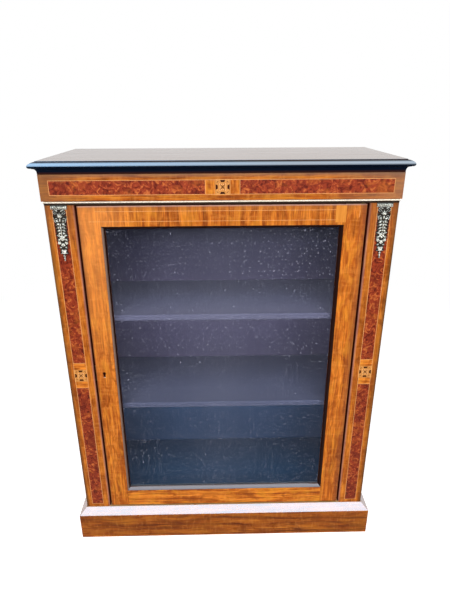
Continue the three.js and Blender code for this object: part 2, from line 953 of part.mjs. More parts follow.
// Lock: a case cut into the back of the stile, its bolt, the keep and the keyhole liner
const bolt_x = [lock_x[0] + bolt_set_back, lock_x[0] + bolt_set_back + bolt_length];
add(
  "lock_case",
  cut(
    board(lock_x, lock_y, lock_z),
    board([lock_x[0] - overrun, bolt_x[1] + bolt_clearance], ...boltRoom(bolt_clearance)),
    keyholePrism(0, lock_y[0] - overrun, bolt_y),
  ),
  brass,
);
add("lock_bolt", board(bolt_x, ...boltRoom(0)), brass);
add(
  "lock_keep",
  cut(
    board(
      [-half_opening, -half_opening - keep_thickness],
      [bolt_y - keep_width / 2, bolt_y + keep_width / 2],
      [lock_centre - keep_length / 2, lock_centre + keep_length / 2],
    ),
    board(
      [-half_opening + overrun, -half_opening - keep_thickness - overrun],
      ...boltRoom(2 * bolt_clearance),
    ),
  ),
  brass,
);
add(
  "keyhole_liner",
  cut(keyholePrism(key_liner, 0, key_liner_depth), keyholePrism(0, -lap, key_liner_depth + lap)),
  bright_brass,
);

// Door stop behind the lock side
add(
  "door_stop",
  board(
    [-half_opening - stop_width / 2, -half_opening + stop_width / 2],
    [pilaster_thickness, lining_front],
    [floor_level, head_level],
  ),
  walnut,
);

// Inside: cloth lining, shelves and their bearers
add(
  "cloth_lining",
  cut(
    board([-inner_half, inner_half], [lining_front, back_front], [floor_level, head_level]),
    board(
      [-inner_half + lining, inner_half - lining],
      [lining_front - overrun, back_front - lining],
      [floor_level + lining, head_level - lining],
    ),
  ),
  cloth,
);
const shelf_back = back_front - lining - shelf_end_gap;
const shelf_half = inner_half - lining - shelf_end_gap;
function shelfProfile() {
  const shape = new THREE.Shape();
  shape.moveTo(-shelf_back, 0);
  shape.lineTo(-shelf_front - shelf_round, 0);
  shape.absarc(-shelf_front - shelf_round, shelf_round, shelf_round, -Math.PI / 2, 0, false);
  shape.lineTo(-shelf_front, shelf_thickness - shelf_round);
  shape.absarc(-shelf_front - shelf_round, shelf_thickness - shelf_round, shelf_round, 0, Math.PI / 2, false);
  shape.lineTo(-shelf_back, shelf_thickness);
  shape.closePath();
  return shape;
}
for (const [level, top] of [["upper", upper_shelf_height], ["lower", lower_shelf_height]]) {
  const foot = floor_level + top - shelf_thickness;
  add(
    "shelf_" + level,
    run({
      profile: shelfProfile(),
      outward: FRONT,
      up: UP,
      centre: new THREE.Vector3(0, 0, foot),
      length: 2 * shelf_half,
    }),
    cloth,
  );
  addPair(
    "shelf_bearer_" + level,
    board(
      [inner_half - lining - bearer_thickness, inner_half - lining],
      [shelf_front + bearer_set_back, shelf_back],
      [foot - bearer_height, foot],
    ),
    walnut,
  );
}

// Cast mounts: a capped pendant of scrolls, leaves, flowers and husks on a thin backing
function ellipsoid(x, z, rx, rz, out, turn = 0) {
  const geometry = new THREE.SphereGeometry(1, 6, 4);
  geometry.rotateX(Math.PI / 2).scale(rx, out, rz);
  return geometry.rotateY(turn).translate(x, 0, z);
}

// A pointed leaf that starts at a place and runs along a direction, 0 being straight down.
function leaf(x, z, length, width, turn, out) {
  const points = leaf_width_shares.map(
    (share, i) => new THREE.Vector2((share * width) / 2, (-length * i) / (leaf_width_shares.length - 1)),
  );
  const geometry = new THREE.LatheGeometry(points.reverse(), 6);
  geometry.rotateX(Math.PI / 2).scale(1, (2 * out) / width, 1);
  return geometry.rotateY(turn).translate(x, 0, z);
}

function flower(x, z, radius, petals, out) {
  const boss = radius * flower_shares.boss;
  const away = radius * flower_shares.reach;
  const pieces = [ellipsoid(x, z, boss, boss, out)];
  for (let i = 0; i < petals; i += 1) {
    const angle = (2 * Math.PI * i) / petals;
    pieces.push(
      ellipsoid(
        x + away * Math.sin(angle),
        z + away * Math.cos(angle),
        radius * flower_shares.petal_width,
        radius * flower_shares.petal_length,
        out * flower_shares.petal_relief,
        angle,
      ),
    );
  }
  return pieces;
}

function scroll(points, radius) {
  const rise = -radius * scroll_rise_share;
  const path = new THREE.CatmullRomCurve3(points.map(([x, z]) => new THREE.Vector3(x, rise, z)));
  const section = new THREE.Shape().absarc(0, 0, radius, 0, 2 * Math.PI, false);
  return new THREE.ExtrudeGeometry(section, { steps: 10, curveSegments: 3, extrudePath: path });
}

// The cap bar with its row of beads, and the thin backing that holds all figures together.
function mountGround(place) {
  const radius = mount_cap_height / 2;
  const flatten = (2 * mount_relief) / mount_cap_height;
  const cap = new THREE.CylinderGeometry(radius, radius, mount_cap_width, 10);
  const pieces = [cap.rotateZ(Math.PI / 2).scale(1, flatten, 1).translate(0, 0, -mount_cap_drop - radius)];
  const bead_relief = mount_relief * relief_shares.leaf;
  for (let i = 0; i < mount_bead_count; i += 1) {
    const x = (mount_cap_width - 2 * mount_bead) * (i / (mount_bead_count - 1) - 1 / 2);
    pieces.push(ellipsoid(x, -mount_cap_drop / 2, mount_bead, mount_cap_drop / 2, bead_relief));
  }
  const rim = [[mount_shoulder_half, -mount_cap_drop / 2], ...outline_shares.map(place)];
  const backing = polygon([...rim, ...rim.map(([x, z]) => [-x, z]).reverse()]);
  const plate = new THREE.ExtrudeGeometry(backing, { depth: mount_backing, bevelEnabled: false });
  pieces.push(plate.rotateX(Math.PI / 2));
  return pieces;
}

function mount() {
  const place = ([across, down]) => [across * mount_body_half, -down * mount_height];
  const pieces = mountGround(place);
  for (const side of [-1, 1]) {
    const sided = (shares) => {
      const [x, z] = place(shares);
      return [side * x, z];
    };
    pieces.push(scroll(scroll_shares.map(sided), mount_scroll_radius));
    for (const { at_shares, length_share, turn } of side_leaves) {
      const length = length_share * mount_body_half;
      const width = side_leaf_width_share * mount_body_half;
      pieces.push(leaf(...sided(at_shares), length, width, -side * turn, mount_relief * relief_shares.leaf));
    }
    for (const { at_shares, radius_share, petals, relief_share } of side_flowers) {
      const radius = radius_share * mount_body_half;
      pieces.push(...flower(...sided(at_shares), radius, petals, mount_relief * relief_share));
    }
    const berry = berry_share * mount_body_half;
    pieces.push(ellipsoid(...sided(berry_place_shares), berry, berry, mount_relief * relief_shares.berry));
  }
  for (const { down_share, length_share, width_share, relief_share } of middle_leaves) {
    const length = length_share * mount_height;
    const width = width_share * mount_body_half;
    pieces.push(leaf(...place([0, down_share]), length, width, 0, mount_relief * relief_share));
  }
  for (const { down_share, radius_share, petals, relief_share } of middle_flowers) {
    const radius = radius_share * mount_body_half;
    pieces.push(...flower(...place([0, down_share]), radius, petals, mount_relief * relief_share));
  }
  const behind = board(
    [-mount_cap_width, mount_cap_width],
    [0, mount_relief + overrun],
    [-mount_height - overrun, overrun],
  );
  return cut(join(...pieces), behind);
}
const mount_geometry = mount();
for (const [name, side] of [["right", 1], ["left", -1]]) {
  const mesh = add("pilaster_mount_" + name, mount_geometry, brass);
  mesh.position.set(side * panel_centre, 0, head_level);
}

// The origin is under the middle of the whole cabinet, on the floor
cabinet.position.y = (top_overhang - top_back) / 2;

export default cabinet;
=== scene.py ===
import math

import bmesh
import bpy
from bpy.props import FloatProperty, FloatVectorProperty, IntProperty, PointerProperty
from mathutils import Matrix, Vector


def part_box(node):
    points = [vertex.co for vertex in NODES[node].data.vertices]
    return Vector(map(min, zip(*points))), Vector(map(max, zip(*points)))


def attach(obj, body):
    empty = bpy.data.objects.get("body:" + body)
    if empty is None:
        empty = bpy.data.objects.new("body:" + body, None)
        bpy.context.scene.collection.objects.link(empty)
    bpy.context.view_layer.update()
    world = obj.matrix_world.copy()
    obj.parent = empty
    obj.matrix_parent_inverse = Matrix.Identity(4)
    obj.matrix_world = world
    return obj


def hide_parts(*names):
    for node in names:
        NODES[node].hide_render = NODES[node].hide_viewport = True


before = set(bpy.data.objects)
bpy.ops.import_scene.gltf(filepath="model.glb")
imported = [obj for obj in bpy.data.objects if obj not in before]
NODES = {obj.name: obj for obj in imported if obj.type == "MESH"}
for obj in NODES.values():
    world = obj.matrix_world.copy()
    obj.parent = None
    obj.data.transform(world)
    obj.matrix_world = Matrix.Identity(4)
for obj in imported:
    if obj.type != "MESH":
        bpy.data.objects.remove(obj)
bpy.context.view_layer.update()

bl_info = {"name": "Glazed pier cabinet", "version": (1, 0, 0), "blender": (4, 5, 0),
    "location": "View3D > Sidebar > Cabinet",
    "description": "Finishes and fine pieces of a walnut pier cabinet: inlay, rope, cast mounts, screws",
    "category": "Object"}

MM = 0.001

# Ends of the old repair in the door's top rail, and the upright line beyond it
REPAIR_LEFT, REPAIR_RIGHT, UPRIGHT_LINE = 251.6 * MM, 275.2 * MM, 304.5 * MM
# How far the inlaid lines go into the wood
INLAY_DEPTH = 0.5 * MM


def linear(code):
    """The linear colour of an sRGB hex value."""
    shares = [int(code[i : i + 2], 16) / 255 for i in (1, 3, 5)]
    return tuple(c / 12.92 if c <= 0.04045 else ((c + 0.055) / 1.055) ** 2.4 for c in shares)


def nodes(*starts):
    """Names of the CAD nodes that begin with one of these words."""
    return [name for name in NODES if name.startswith(starts)]


# Lowest and highest corners of each node, which the fine pieces are fitted to
BOX = {name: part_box(name) for name in NODES}


# Settings


def size_property(label, text, default_mm):
    return FloatProperty(name=label, description=text, default=default_mm * MM, unit="LENGTH", min=0,
        precision=4)


def colour_property(label, text, code):
    return FloatVectorProperty(name=label, description=text, default=linear(code), subtype="COLOR", size=3,
        min=0, max=1)


class CabinetSizes(bpy.types.PropertyGroup):
    """Sizes of the fine pieces."""

    stringing: size_property("Stringing", "Width of the lines round the burr panels", 1.0)
    fine_line: size_property("Fine line", "Width of the lines on the door's top rail", 0.9)
    proud: size_property("Proud", "Height of the lines above the wood", 0.08)
    dot: size_property("Dot", "Diameter of the pale dots of the tablets", 1.5)
    rope_strand: size_property("Strand", "Diameter of one strand of the rope moulding", 2.6)
    rope_lay: size_property("Lay", "Length in which a strand goes once round the rope", 24)
    screw_head: size_property("Screw head", "Diameter of the screw heads", 5.5)
    screw_slot: size_property("Screw slot", "Width of the screws' slots", 0.8)
    pin_head: size_property("Pin head", "Diameter of the heads of the pins", 1.8)
    casting_grain: size_property("Casting grain", "Smallest form that the cast mounts keep", 0.42)
    rope_strands: IntProperty(name="Strands", description="Number of strands of the rope moulding",
        default=3, min=2, max=4)


class CabinetColours(bpy.types.PropertyGroup):
    """Colours of the finishes."""

    walnut_dark: colour_property("Walnut, dark", "Dark lines of the walnut's figure", "#5c250b")
    walnut: colour_property("Walnut", "Body colour of the polished walnut", "#aa5616")
    walnut_light: colour_property("Walnut, light", "Light patches of the walnut's figure", "#d98029")
    burr_dark: colour_property("Burr, dark", "Eyes of the burr amboyna", "#480f05")
    burr: colour_property("Burr", "Body colour of the burr amboyna", "#8e3418")
    burr_light: colour_property("Burr, light", "Light curls of the burr amboyna", "#b8622c")
    boxwood: colour_property("Boxwood", "Lines and tablet grounds", "#cb8a45")
    inlay: colour_property("Dark inlay", "Figures of the tablets", "#3a1002")
    ebony: colour_property("Ebonised", "Stained black of the top", "#07080b")
    cloth: colour_property("Cloth", "Lining cloth", "#696080")
    gilt: colour_property("Gilt", "Bright edges of the cast mounts", "#dad2c0")
    brass: colour_property("Brass", "Lock, hinges and screws", "#b79a5c")


# Materials


def having(target, **settings):
    """Gives something its settings and returns it."""
    for key, value in settings.items():
        setattr(target, key, value)
    return target


def add(tree, kind, inputs=None, stops=(), **settings):
    """Adds a shader node with its settings. An input is a value, an sRGB hex colour, an output socket, or a
    node that gives its first output. Stops are the (place, colour or grey) stops of a colour ramp."""
    made = having(tree.nodes.new("ShaderNode" + kind), **settings)
    for key, value in (inputs or {}).items():
        socket = made.inputs[key]
        if isinstance(value, bpy.types.Node):
            value = value.outputs[0]
        if isinstance(value, bpy.types.NodeSocket):
            tree.links.new(value, socket)
        elif socket.type == "RGBA":
            value = linear(value) if isinstance(value, str) else value
            socket.default_value = (*tuple(value)[:3], 1)
        else:
            socket.default_value = value
    for index, (place, colour) in enumerate(stops):
        elements = made.color_ramp.elements
        element = elements[index] if index < 2 else elements.new(place)
        element.position = place
        colour = (colour,) * 3 if isinstance(colour, (int, float)) else tuple(colour)
        element.color = (*colour[:3], 1)
    return made


def new_material(name):
    """An empty node material and its tree, which holds the place on the piece and its distances along the
    piece's own X, Y and Z in metres, for the patterns to read."""
    material = bpy.data.materials.new(name)
    material.use_nodes = True
    tree = material.node_tree
    tree.nodes.clear()
    place = add(tree, "TexCoord", name="place").outputs["Object"]
    add(tree, "SeparateXYZ", {0: place}, name="along")
    return material, tree


def way_faced(tree):
    """How far the surface looks along the piece's own X, Y and Z."""
    normal = add(tree, "NewGeometry").outputs["True Normal"]
    own = add(tree, "VectorTransform", {0: normal}, vector_type="NORMAL", convert_from="WORLD",
        convert_to="OBJECT")
    return add(tree, "SeparateXYZ", {0: own}).outputs


def polish(material, settings):
    """Ends a material in one principled shader."""
    tree = material.node_tree
    shader = add(tree, "BsdfPrincipled", settings)
    add(tree, "OutputMaterial", {"Surface": shader})
    return material


def figure(tree, size, seed=0, detail=4, rough=0.55, swirl=0.0, bend=None):
    """A soft pattern of wood, cloth or metal. Size is what one feature measures along X, Y and Z, and bend
    is how far the pattern drifts and over what length, all in millimetres."""
    source = tree.nodes["place"].outputs["Object"]
    if bend:
        drift, length = bend
        noise = add(tree, "TexNoise", {"Vector": source, "Scale": 1 / (length * MM), "Detail": 2})
        level = add(tree, "VectorMath", {0: noise.outputs["Color"], 1: (0.5, 0.5, 0.5)},
            operation="SUBTRACT")
        level = add(tree, "VectorMath", {0: level, "Scale": drift * MM}, operation="SCALE")
        source = add(tree, "VectorMath", {0: source, 1: level}, operation="ADD")
    scale = [1 / (s * MM) for s in size]
    start = (seed * 1.37, seed * 0.61, seed * 2.11)
    moved = add(tree, "Mapping", {"Vector": source, "Location": start, "Scale": scale})
    return add(tree, "TexNoise", {"Vector": moved, "Scale": 1, "Detail": detail, "Roughness": rough,
        "Distortion": swirl}).outputs["Fac"]


def grain(axis, across, along):
    """Sizes of a feature whose long way is one axis."""
    size = [across] * 3
    size["XYZ".index(axis)] = along
    return size


def span(pattern, start, end, least=0.0, share=1.0):
    """Map Range inputs: from least to share while a pattern passes from start to end."""
    return {"Value": pattern, "From Min": start, "From Max": end, "To Min": least, "To Max": share}


def stain(tree, colour, *layers):
    """Lays colours over one another. A layer is (colour, pattern, start, end, share): it covers its share of
    what lies below as the pattern passes from start to end."""
    for above, pattern, start, end, share in layers:
        factor = add(tree, "MapRange", span(pattern, start, end, 0.0, share))
        colour = add(tree, "Mix", {0: factor, 6: colour, 7: above}, data_type="RGBA").outputs[2]
    return colour


def blend(a, b, share):
    """A colour between two."""
    return tuple(x * (1 - share) + y * share for x, y in zip(a, b))


def walnut(name, axis, seed=0, tone=1.0, streaks=0.5, gold=0.5, bands=(), lip=None, ledge=False,
        side_shade=True):
    """French-polished walnut veneer: golden brown, with dark streaks along the grain, golden patches, fine
    pores and a thin hard polish. Faces that look sideways, as in the gap round the door, are painted dark and
    matt: painted shade. A band is (axis, start, end, colour, share): a stretch laid over with one colour, for
    a painted highlight, painted shade or a change of tone. The lip round the glass, (axis, start, end,
    colour, gloss), is stained dark, and its rounded foot, which catches the light, has a painted highlight in
    its colour and a gloss of its own. A ledge is glossy where it looks up."""
    colours = bpy.context.scene.cabinet_colours
    material, tree = new_material("walnut, " + name)
    along, facing = tree.nodes["along"].outputs, way_faced(tree)
    shades = (colours.walnut_dark, colours.walnut, colours.walnut_light, linear("#cf8224"))
    dark, body, pale, golden = [[c * tone for c in shade] for shade in shades]
    lines = figure(tree, grain(axis, 8, 160), seed, 7, 0.62, 0.5, (14, 80))
    patches = figure(tree, grain(axis, 24, 55), seed + 3, 3, 0.5, 0.8, (20, 50))
    ripple = figure(tree, grain(axis, 30, 7), seed + 5, 2, 0.5, 0, (10, 40))
    streak = figure(tree, grain(axis, 13, 420), seed + 7, 5, 0.68, 0.6, (12, 110))
    fine = figure(tree, grain(axis, 3.4, 90), seed + 9, 3, 0.6, 0.2, (4, 60))
    # real pores are too fine to show, so these are as coarse as they need to be
    pores = figure(tree, grain(axis, 1.5, 30), seed, 2, 0.5)
    wood = add(tree, "ValToRGB", {"Fac": lines}, [(0.34, blend(body, dark, 0.6)), (0.46, body),
        (0.56, blend(body, pale, gold)), (0.68, pale)])
    wood = stain(tree, wood, (golden, patches, 0.5, 0.66, gold), (blend(body, dark, 0.55), patches, 0.46,
        0.32, 0.75), (blend(pale, (1, 0.62, 0.2), 0.15), ripple, 0.5, 0.72, 0.3),
        (dark, streak, 0.52, 0.64, streaks), (dark, fine, 0.5, 0.7, 0.5), (dark, pores, 0.55, 0.72, 0.5),
        *((colour, along[way], start, end, share) for way, start, end, colour, share in bands))
    rough = add(tree, "MapRange", span(patches, 0.3, 0.7, 0.24, 0.36))
    shine = 0.0
    if side_shade:
        # painted shade: faces that look sideways, as in the gap round the door, are darkened and made matt
        across = add(tree, "Math", {0: facing["Y"]}, operation="ABSOLUTE")
        wood = stain(tree, wood, ("#441104", across, 0.8, 0.5, 1))
        matt = add(tree, "MapRange", span(across, 0.8, 0.5, 0.0, 0.95))
        rough = add(tree, "Math", {0: rough, 1: matt}, operation="MAXIMUM")
    if lip:
        way, start, end, colour, gloss = lip
        inside = add(tree, "MapRange", span(along[way], start, end))
        foot = add(tree, "ValToRGB", {"Fac": facing[way]}, [(0.28, 0.0), (0.44, 0.8), (0.64, 0.8),
            (0.8, gloss)])
        foot = add(tree, "Math", {0: foot, 1: inside}, operation="MULTIPLY")
        wood = stain(tree, wood, ("#200a04", along[way], start, end, 1), (colour, foot, 0, 1, 1))
        shine = add(tree, "Math", {0: foot, 1: gloss}, operation="MULTIPLY")
    if ledge:
        shine = add(tree, "MapRange", span(facing["Z"], 0.3, 0.5))
    bump = add(tree, "Bump", {"Height": pores, "Strength": 0.05, "Distance": 0.0004})
    return polish(material, {"Base Color": wood, "Roughness": rough, "Normal": bump, "IOR": 1.45,
        "Specular IOR Level": 0.07, "Coat Weight": shine, "Coat Roughness": 0.08,
        "Coat IOR": 2.9 if ledge else 1.75})


def burr(name, seed=0):
    """Burr amboyna veneer: red-brown, crowded with dark eyes and paler orange curls up to a centimetre
    across, under the same polish as the walnut."""
    colours = bpy.context.scene.cabinet_colours
    body, dark = colours.burr, colours.burr_dark
    material, tree = new_material(name)
    curls = figure(tree, (14, 14, 14), seed, 4, 0.55, 1.8, (10, 16))
    clouds = figure(tree, (45, 45, 45), seed + 2, 3, 0.5, 0.9)
    fine = figure(tree, (6, 6, 6), seed + 4, 3, 0.6, 1.0)
    eye_spacing = 16.13 * MM
    spots = add(tree, "Mapping", {"Vector": tree.nodes["place"].outputs["Object"],
        "Location": (seed, seed, seed), "Scale": (1 / eye_spacing,) * 3})
    eyes = add(tree, "TexVoronoi", {"Vector": spots, "Scale": 1})
    wood = add(tree, "ValToRGB", {"Fac": curls}, [(0.34, blend(body, dark, 0.9)),
        (0.46, blend(body, dark, 0.25)), (0.54, body), (0.66, colours.burr_light)])
    wood = stain(tree, wood, ("#a85a1c", clouds, 0.56, 0.7, 0.45), (blend(body, dark, 0.7), clouds, 0.46,
        0.34, 0.65), (dark, fine, 0.52, 0.7, 0.5), (dark, eyes, 0.28, 0.08, 0.6))
    return polish(material, {"Base Color": wood, "Roughness": 0.3, "IOR": 1.45, "Specular IOR Level": 0.1})


def plain_wood(name, colour, dark, axis, roughness, lines=0.35, gloss=0.25):
    """A straight-grained wood, such as boxwood under polish or bare aged deal."""
    material, tree = new_material(name)
    streak = figure(tree, grain(axis, 5, 140), 0, 5, 0.55, 0.3, (6, 80))
    # coarser than real pores, which would not show
    pores = figure(tree, grain(axis, 1.2, 18), 0, 2)
    wood = stain(tree, colour, (dark, streak, 0.4, 0.62, lines), (dark, pores, 0.5, 0.7, lines))
    rough = add(tree, "MapRange", span(pores, 0.3, 0.7, roughness, min(roughness + 0.1, 1)))
    bump = add(tree, "Bump", {"Height": pores, "Strength": 0.1, "Distance": 0.0003})
    return polish(material, {"Base Color": wood, "Roughness": rough, "Normal": bump, "IOR": 1.5,
        "Specular IOR Level": gloss})


def ebonised(name, axis):
    """Wood stained black and polished: nearly black, with a painted dark navy reflection where it looks
    sideways and down, as in the cove, and brown at the cove's foot; glossy on the nose, with a painted bluish
    reflection towards the left; and on the flat of the top a rubbed satin with fine streaks."""
    material, tree = new_material(name)
    along, up = tree.nodes["along"].outputs, way_faced(tree)["Z"]
    rubbed = figure(tree, grain(axis, 6, 260), 0, 4, 0.6, 0, (4, 100))
    worn = figure(tree, (14, 14, 14), 0, 4, 0.6)
    foot = BOX["top_moulding_front"][0].z
    nose = foot + 12.5 * MM
    round_share = add(tree, "ValToRGB", {"Fac": up}, [(0.05, 0.0), (0.3, 1.0), (0.82, 1.0), (0.95, 0.06)])
    raised = add(tree, "MapRange", span(along["Z"], nose, nose + 3 * MM))
    polished = add(tree, "Math", {0: round_share, 1: raised}, operation="MULTIPLY")
    # painted bluish reflection on the nose, growing towards the left end
    blue_reflection = add(tree, "MapRange", span(along["X"], 0.15, -0.36))
    blue_reflection = add(tree, "Math", {0: blue_reflection, 1: polished}, operation="MULTIPLY")
    # faces that look sideways and down, as in the cove, are painted dark navy: a painted reflection
    wood = stain(tree, bpy.context.scene.cabinet_colours.ebony, ("#2e211a", worn, 0.62, 0.82, 0.35),
        ("#6a4c3a", up, 0.97, 0.99, 1), ("#071222", up, 0.4, -0.2, 0.9),
        ("#3c1c10", along["Z"], foot + 6 * MM, foot + 1 * MM, 0.9), ("#145c84", blue_reflection, 0, 1, 1))
    streaks = add(tree, "MapRange", span(rubbed, 0.35, 0.7, 0.84, 0.64))
    flat = add(tree, "MapRange", span(up, 0.97, 0.99))
    flat = add(tree, "Math", {0: flat, 1: streaks}, operation="MULTIPLY")
    polished = add(tree, "Math", {0: polished, 1: flat}, operation="MAXIMUM")
    return polish(material, {"Base Color": wood, "Roughness": 0.3, "IOR": 1.5, "Specular IOR Level": 0.01,
        "Coat Weight": polished, "Coat Roughness": 0.12, "Coat IOR": 2.15})


def brass(name, bright, dark, dark_to_bright, roughness=0.34, tarnish=0.3):
    """Cast or rolled brass, dark at one end of a span along one axis and bright at the other, with tarnish in
    spots. On the cast mounts the dark is patina in the recesses and the bright the rubbed high parts; on the
    rope, the keyhole liner and the lock they are painted shade and painted highlight. The span is (axis,
    start, end) from its dark to its bright parts, in metres."""
    material, tree = new_material(name)
    axis, start, end = dark_to_bright
    spots = figure(tree, (2.2, 2.2, 2.2), 0, 4, 0.65)
    metal = stain(tree, dark, (bright, tree.nodes["along"].outputs[axis], start, end, 1),
        (dark, spots, 0.48, 0.58, tarnish))
    rough = add(tree, "MapRange", span(spots, 0.35, 0.7, roughness, roughness + 0.18))
    bump = add(tree, "Bump", {"Height": spots, "Strength": tarnish, "Distance": 0.0004})
    return polish(material, {"Base Color": metal, "Metallic": 1.0, "Roughness": rough, "Normal": bump})


def cloth(name, shelf=False):
    """Napped woollen cloth, slate blue-violet: matt, with a short nap. The lining is faintly cloudy, painted
    darker in shade towards the top of the case, bluer below the lower shelf and dark blue where it looks up.
    A shelf is a paler blue-violet, darker towards its front, with a painted highlight along the front edge
    itself, and the lower shelf is darker."""
    material, tree = new_material(name)
    depth, height = tree.nodes["along"].outputs["Y"], tree.nodes["along"].outputs["Z"]
    low, high, front = BOX["shelf_lower"][0].z, BOX["shelf_upper"][1].z, BOX["shelf_lower"][0].y
    if shelf:
        # darker towards the front, a painted highlight along the front edge itself, and the lower shelf
        # darker
        wool = stain(tree, "#6b6a8a", ("#64607a", depth, front + 0.11, front + 0.01, 1),
            ("#6a6680", depth, front + 0.006, front + 0.002, 1), ("#4d526d", height, low + 0.1, low, 0.8))
    else:
        clouds = figure(tree, (110, 110, 110), 0, 4, 0.6, 0, (50, 100))
        # painted shade towards the top of the case; bluer below the lower shelf; dark blue where it looks up
        wool = stain(tree, bpy.context.scene.cabinet_colours.cloth, ("#746a8c", clouds, 0.4, 0.7, 0.5),
            ("#2c2d42", height, high, high + 0.16, 0.9), ("#305a86", height, low + 0.01, low - 0.05, 0.85),
            ("#0c4064", way_faced(tree)["Z"], 0.5, 0.9, 1))
    # coarser than real wool, which would not show
    nap = figure(tree, (0.9, 0.9, 0.9), 0, 2, 0.6)
    wool = stain(tree, wool, ("#77759a", nap, 0.45, 0.7, 0.1))
    bump = add(tree, "Bump", {"Height": nap, "Strength": 0.08, "Distance": 0.0003})
    return polish(material, {"Base Color": wool, "Roughness": 0.95, "Normal": bump,
        "Specular IOR Level": 0.1, "Sheen Weight": 0.1, "Sheen Roughness": 0.5})


def dusty_glass(name):
    """Old window glass, clear and slightly uneven, with fine dust and specks on it. Light that isn't seen
    straight passes as through an empty opening, so the inside is lit as it is behind real glass."""
    material, tree = new_material(name)
    wave = figure(tree, (110, 110, 110), 0, 2)
    bump = add(tree, "Bump", {"Height": wave, "Strength": 0.02, "Distance": 0.002})
    glass = add(tree, "BsdfPrincipled", {"Base Color": "#eef4f4", "Roughness": 0.02, "IOR": 1.04,
        "Transmission Weight": 1.0, "Normal": bump})
    path = add(tree, "LightPath").outputs
    passing = add(tree, "Math", {0: path["Is Shadow Ray"], 1: path["Is Diffuse Ray"]}, operation="MAXIMUM")
    clear = add(tree, "BsdfTransparent", {"Color": (0.93, 0.95, 0.95)})
    lit = add(tree, "MixShader", {0: passing, 1: glass, 2: clear})
    patches = figure(tree, (190, 190, 190), 1, 4, 0.6)
    haze = add(tree, "MapRange", span(patches, 0.35, 0.7, 0.003, 0.012))
    aside = add(tree, "Math", {0: tree.nodes["along"]}, operation="ABSOLUTE")
    middle = add(tree, "MapRange", span(aside, 0.2, 0.02, 0.006, 0.02))
    haze = add(tree, "Math", {0: haze, 1: middle}, operation="ADD")
    seldom = add(tree, "MapRange", span(patches, 0.42, 0.56, 0.6, 1.0))
    # specks of one to three millimetres, one in each square of 9 and of 24 mm, some bright and most faint
    for cell, reach, seen in ((9, 0.15, 0.34), (24, 0.07, 0.4)):
        spread = add(tree, "Mapping", {"Vector": tree.nodes["place"].outputs["Object"],
            "Rotation": (-math.pi / 2, 0, 0), "Scale": (1 / (cell * MM),) * 3})
        speck = add(tree, "TexVoronoi", {"Vector": spread, "Scale": 1}, voronoi_dimensions="2D").outputs
        dots = add(tree, "MapRange", span(speck["Distance"], reach, reach / 2, 0.0, seen))
        bright = add(tree, "MapRange", span(speck["Color"], 0.3, 0.9))
        for share in (bright, seldom):
            dots = add(tree, "Math", {0: dots, 1: share}, operation="MULTIPLY")
        haze = add(tree, "Math", {0: haze, 1: dots}, operation="MAXIMUM")
    dust = add(tree, "BsdfDiffuse", {"Color": "#c8c8de"})
    whole = add(tree, "MixShader", {0: haze, 1: lit, 2: dust})
    add(tree, "OutputMaterial", {"Surface": whole})
    return material


def showing(tree):
    """Marks the rays that show the background: the camera's own, and those that metal or glass send on."""
    path = add(tree, "LightPath").outputs
    own = add(tree, "Math", {0: path["Is Camera Ray"], 1: path["Is Glossy Ray"]}, operation="MAXIMUM")
    return add(tree, "Math", {0: own, 1: path["Is Transmission Ray"]}, operation="MAXIMUM")


def dress(material, *names):
    """Puts one material on CAD nodes."""
    for name in names:
        mesh = bpy.data.objects[name].data
        mesh.materials.clear()
        mesh.materials.append(material)


def soften(width_mm, *names):
    """Joins a node's loose faces and rounds its arrises by a fraction of a millimetre, as sanding does."""
    for name in names:
        piece = bpy.data.objects[name]
        having(piece.modifiers.new("weld", "WELD"), merge_threshold=0.00001)
        having(piece.modifiers.new("arris", "BEVEL"), width=width_mm * MM, segments=2, limit_method="ANGLE",
            angle_limit=math.radians(35))


# Mesh helpers


def as_mesh(bm, name):
    """Turns a bmesh into a mesh."""
    mesh = bpy.data.meshes.new(name)
    bm.to_mesh(mesh)
    bm.free()
    return mesh


def pour(bm, mesh):
    """Adds a mesh to a bmesh, which takes its place."""
    bm.from_mesh(mesh)
    bpy.data.meshes.remove(mesh)


def stand(name, data):
    """A new object in the scene."""
    made = bpy.data.objects.new(name, data)
    bpy.context.scene.collection.objects.link(made)
    return made


def make_piece(name, bm, material, body, smooth=False):
    """Turns a bmesh into a finished piece that rides on a body."""
    bmesh.ops.recalc_face_normals(bm, faces=bm.faces)
    piece = stand(name, as_mesh(bm, name))
    if not piece.data.polygons:
        raise RuntimeError(name + " has no faces")
    for polygon in piece.data.polygons:
        polygon.use_smooth = smooth
    piece.data.materials.append(material)
    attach(piece, body)
    return piece


def strip(bm, low, high):
    """A thin strip of inlay between two corners."""
    size = [h - l for l, h in zip(low, high)]
    centre = [(h + l) / 2 for l, h in zip(low, high)]
    placed = Matrix.Translation(centre) @ Matrix.Diagonal((*size, 1))
    bmesh.ops.create_cube(bm, size=1, matrix=placed)


def outline(bm, low, high, width, sides="LRTB"):
    """Inlaid lines just outside a box, on its face to -Y."""
    (left, face, foot), (right, _, head) = low, high
    proud = bpy.context.scene.cabinet_sizes.proud
    edges = {"L": (left - width, left, foot, head), "R": (right, right + width, foot, head),
        "T": (left - width, right + width, head, head + width),
        "B": (left - width, right + width, foot - width, foot)}
    for side in sides:
        x0, x1, z0, z1 = edges[side]
        strip(bm, (x0, face - proud, z0), (x1, face + INLAY_DEPTH, z1))


def turned_to(place, way):
    """A place whose +Z looks one way."""
    return Matrix.Translation(place) @ Vector(way).to_track_quat("Z", "Y").to_matrix().to_4x4()


def cut_off(bm, place, way):
    """Cuts off what lies beyond a plane and closes the cut."""
    cut = bmesh.ops.bisect_plane(bm, geom=bm.verts[:] + bm.edges[:] + bm.faces[:], plane_co=place,
        plane_no=way, clear_outer=True)["geom_cut"]
    bmesh.ops.holes_fill(bm, edges=[e for e in cut if isinstance(e, bmesh.types.BMEdge)])


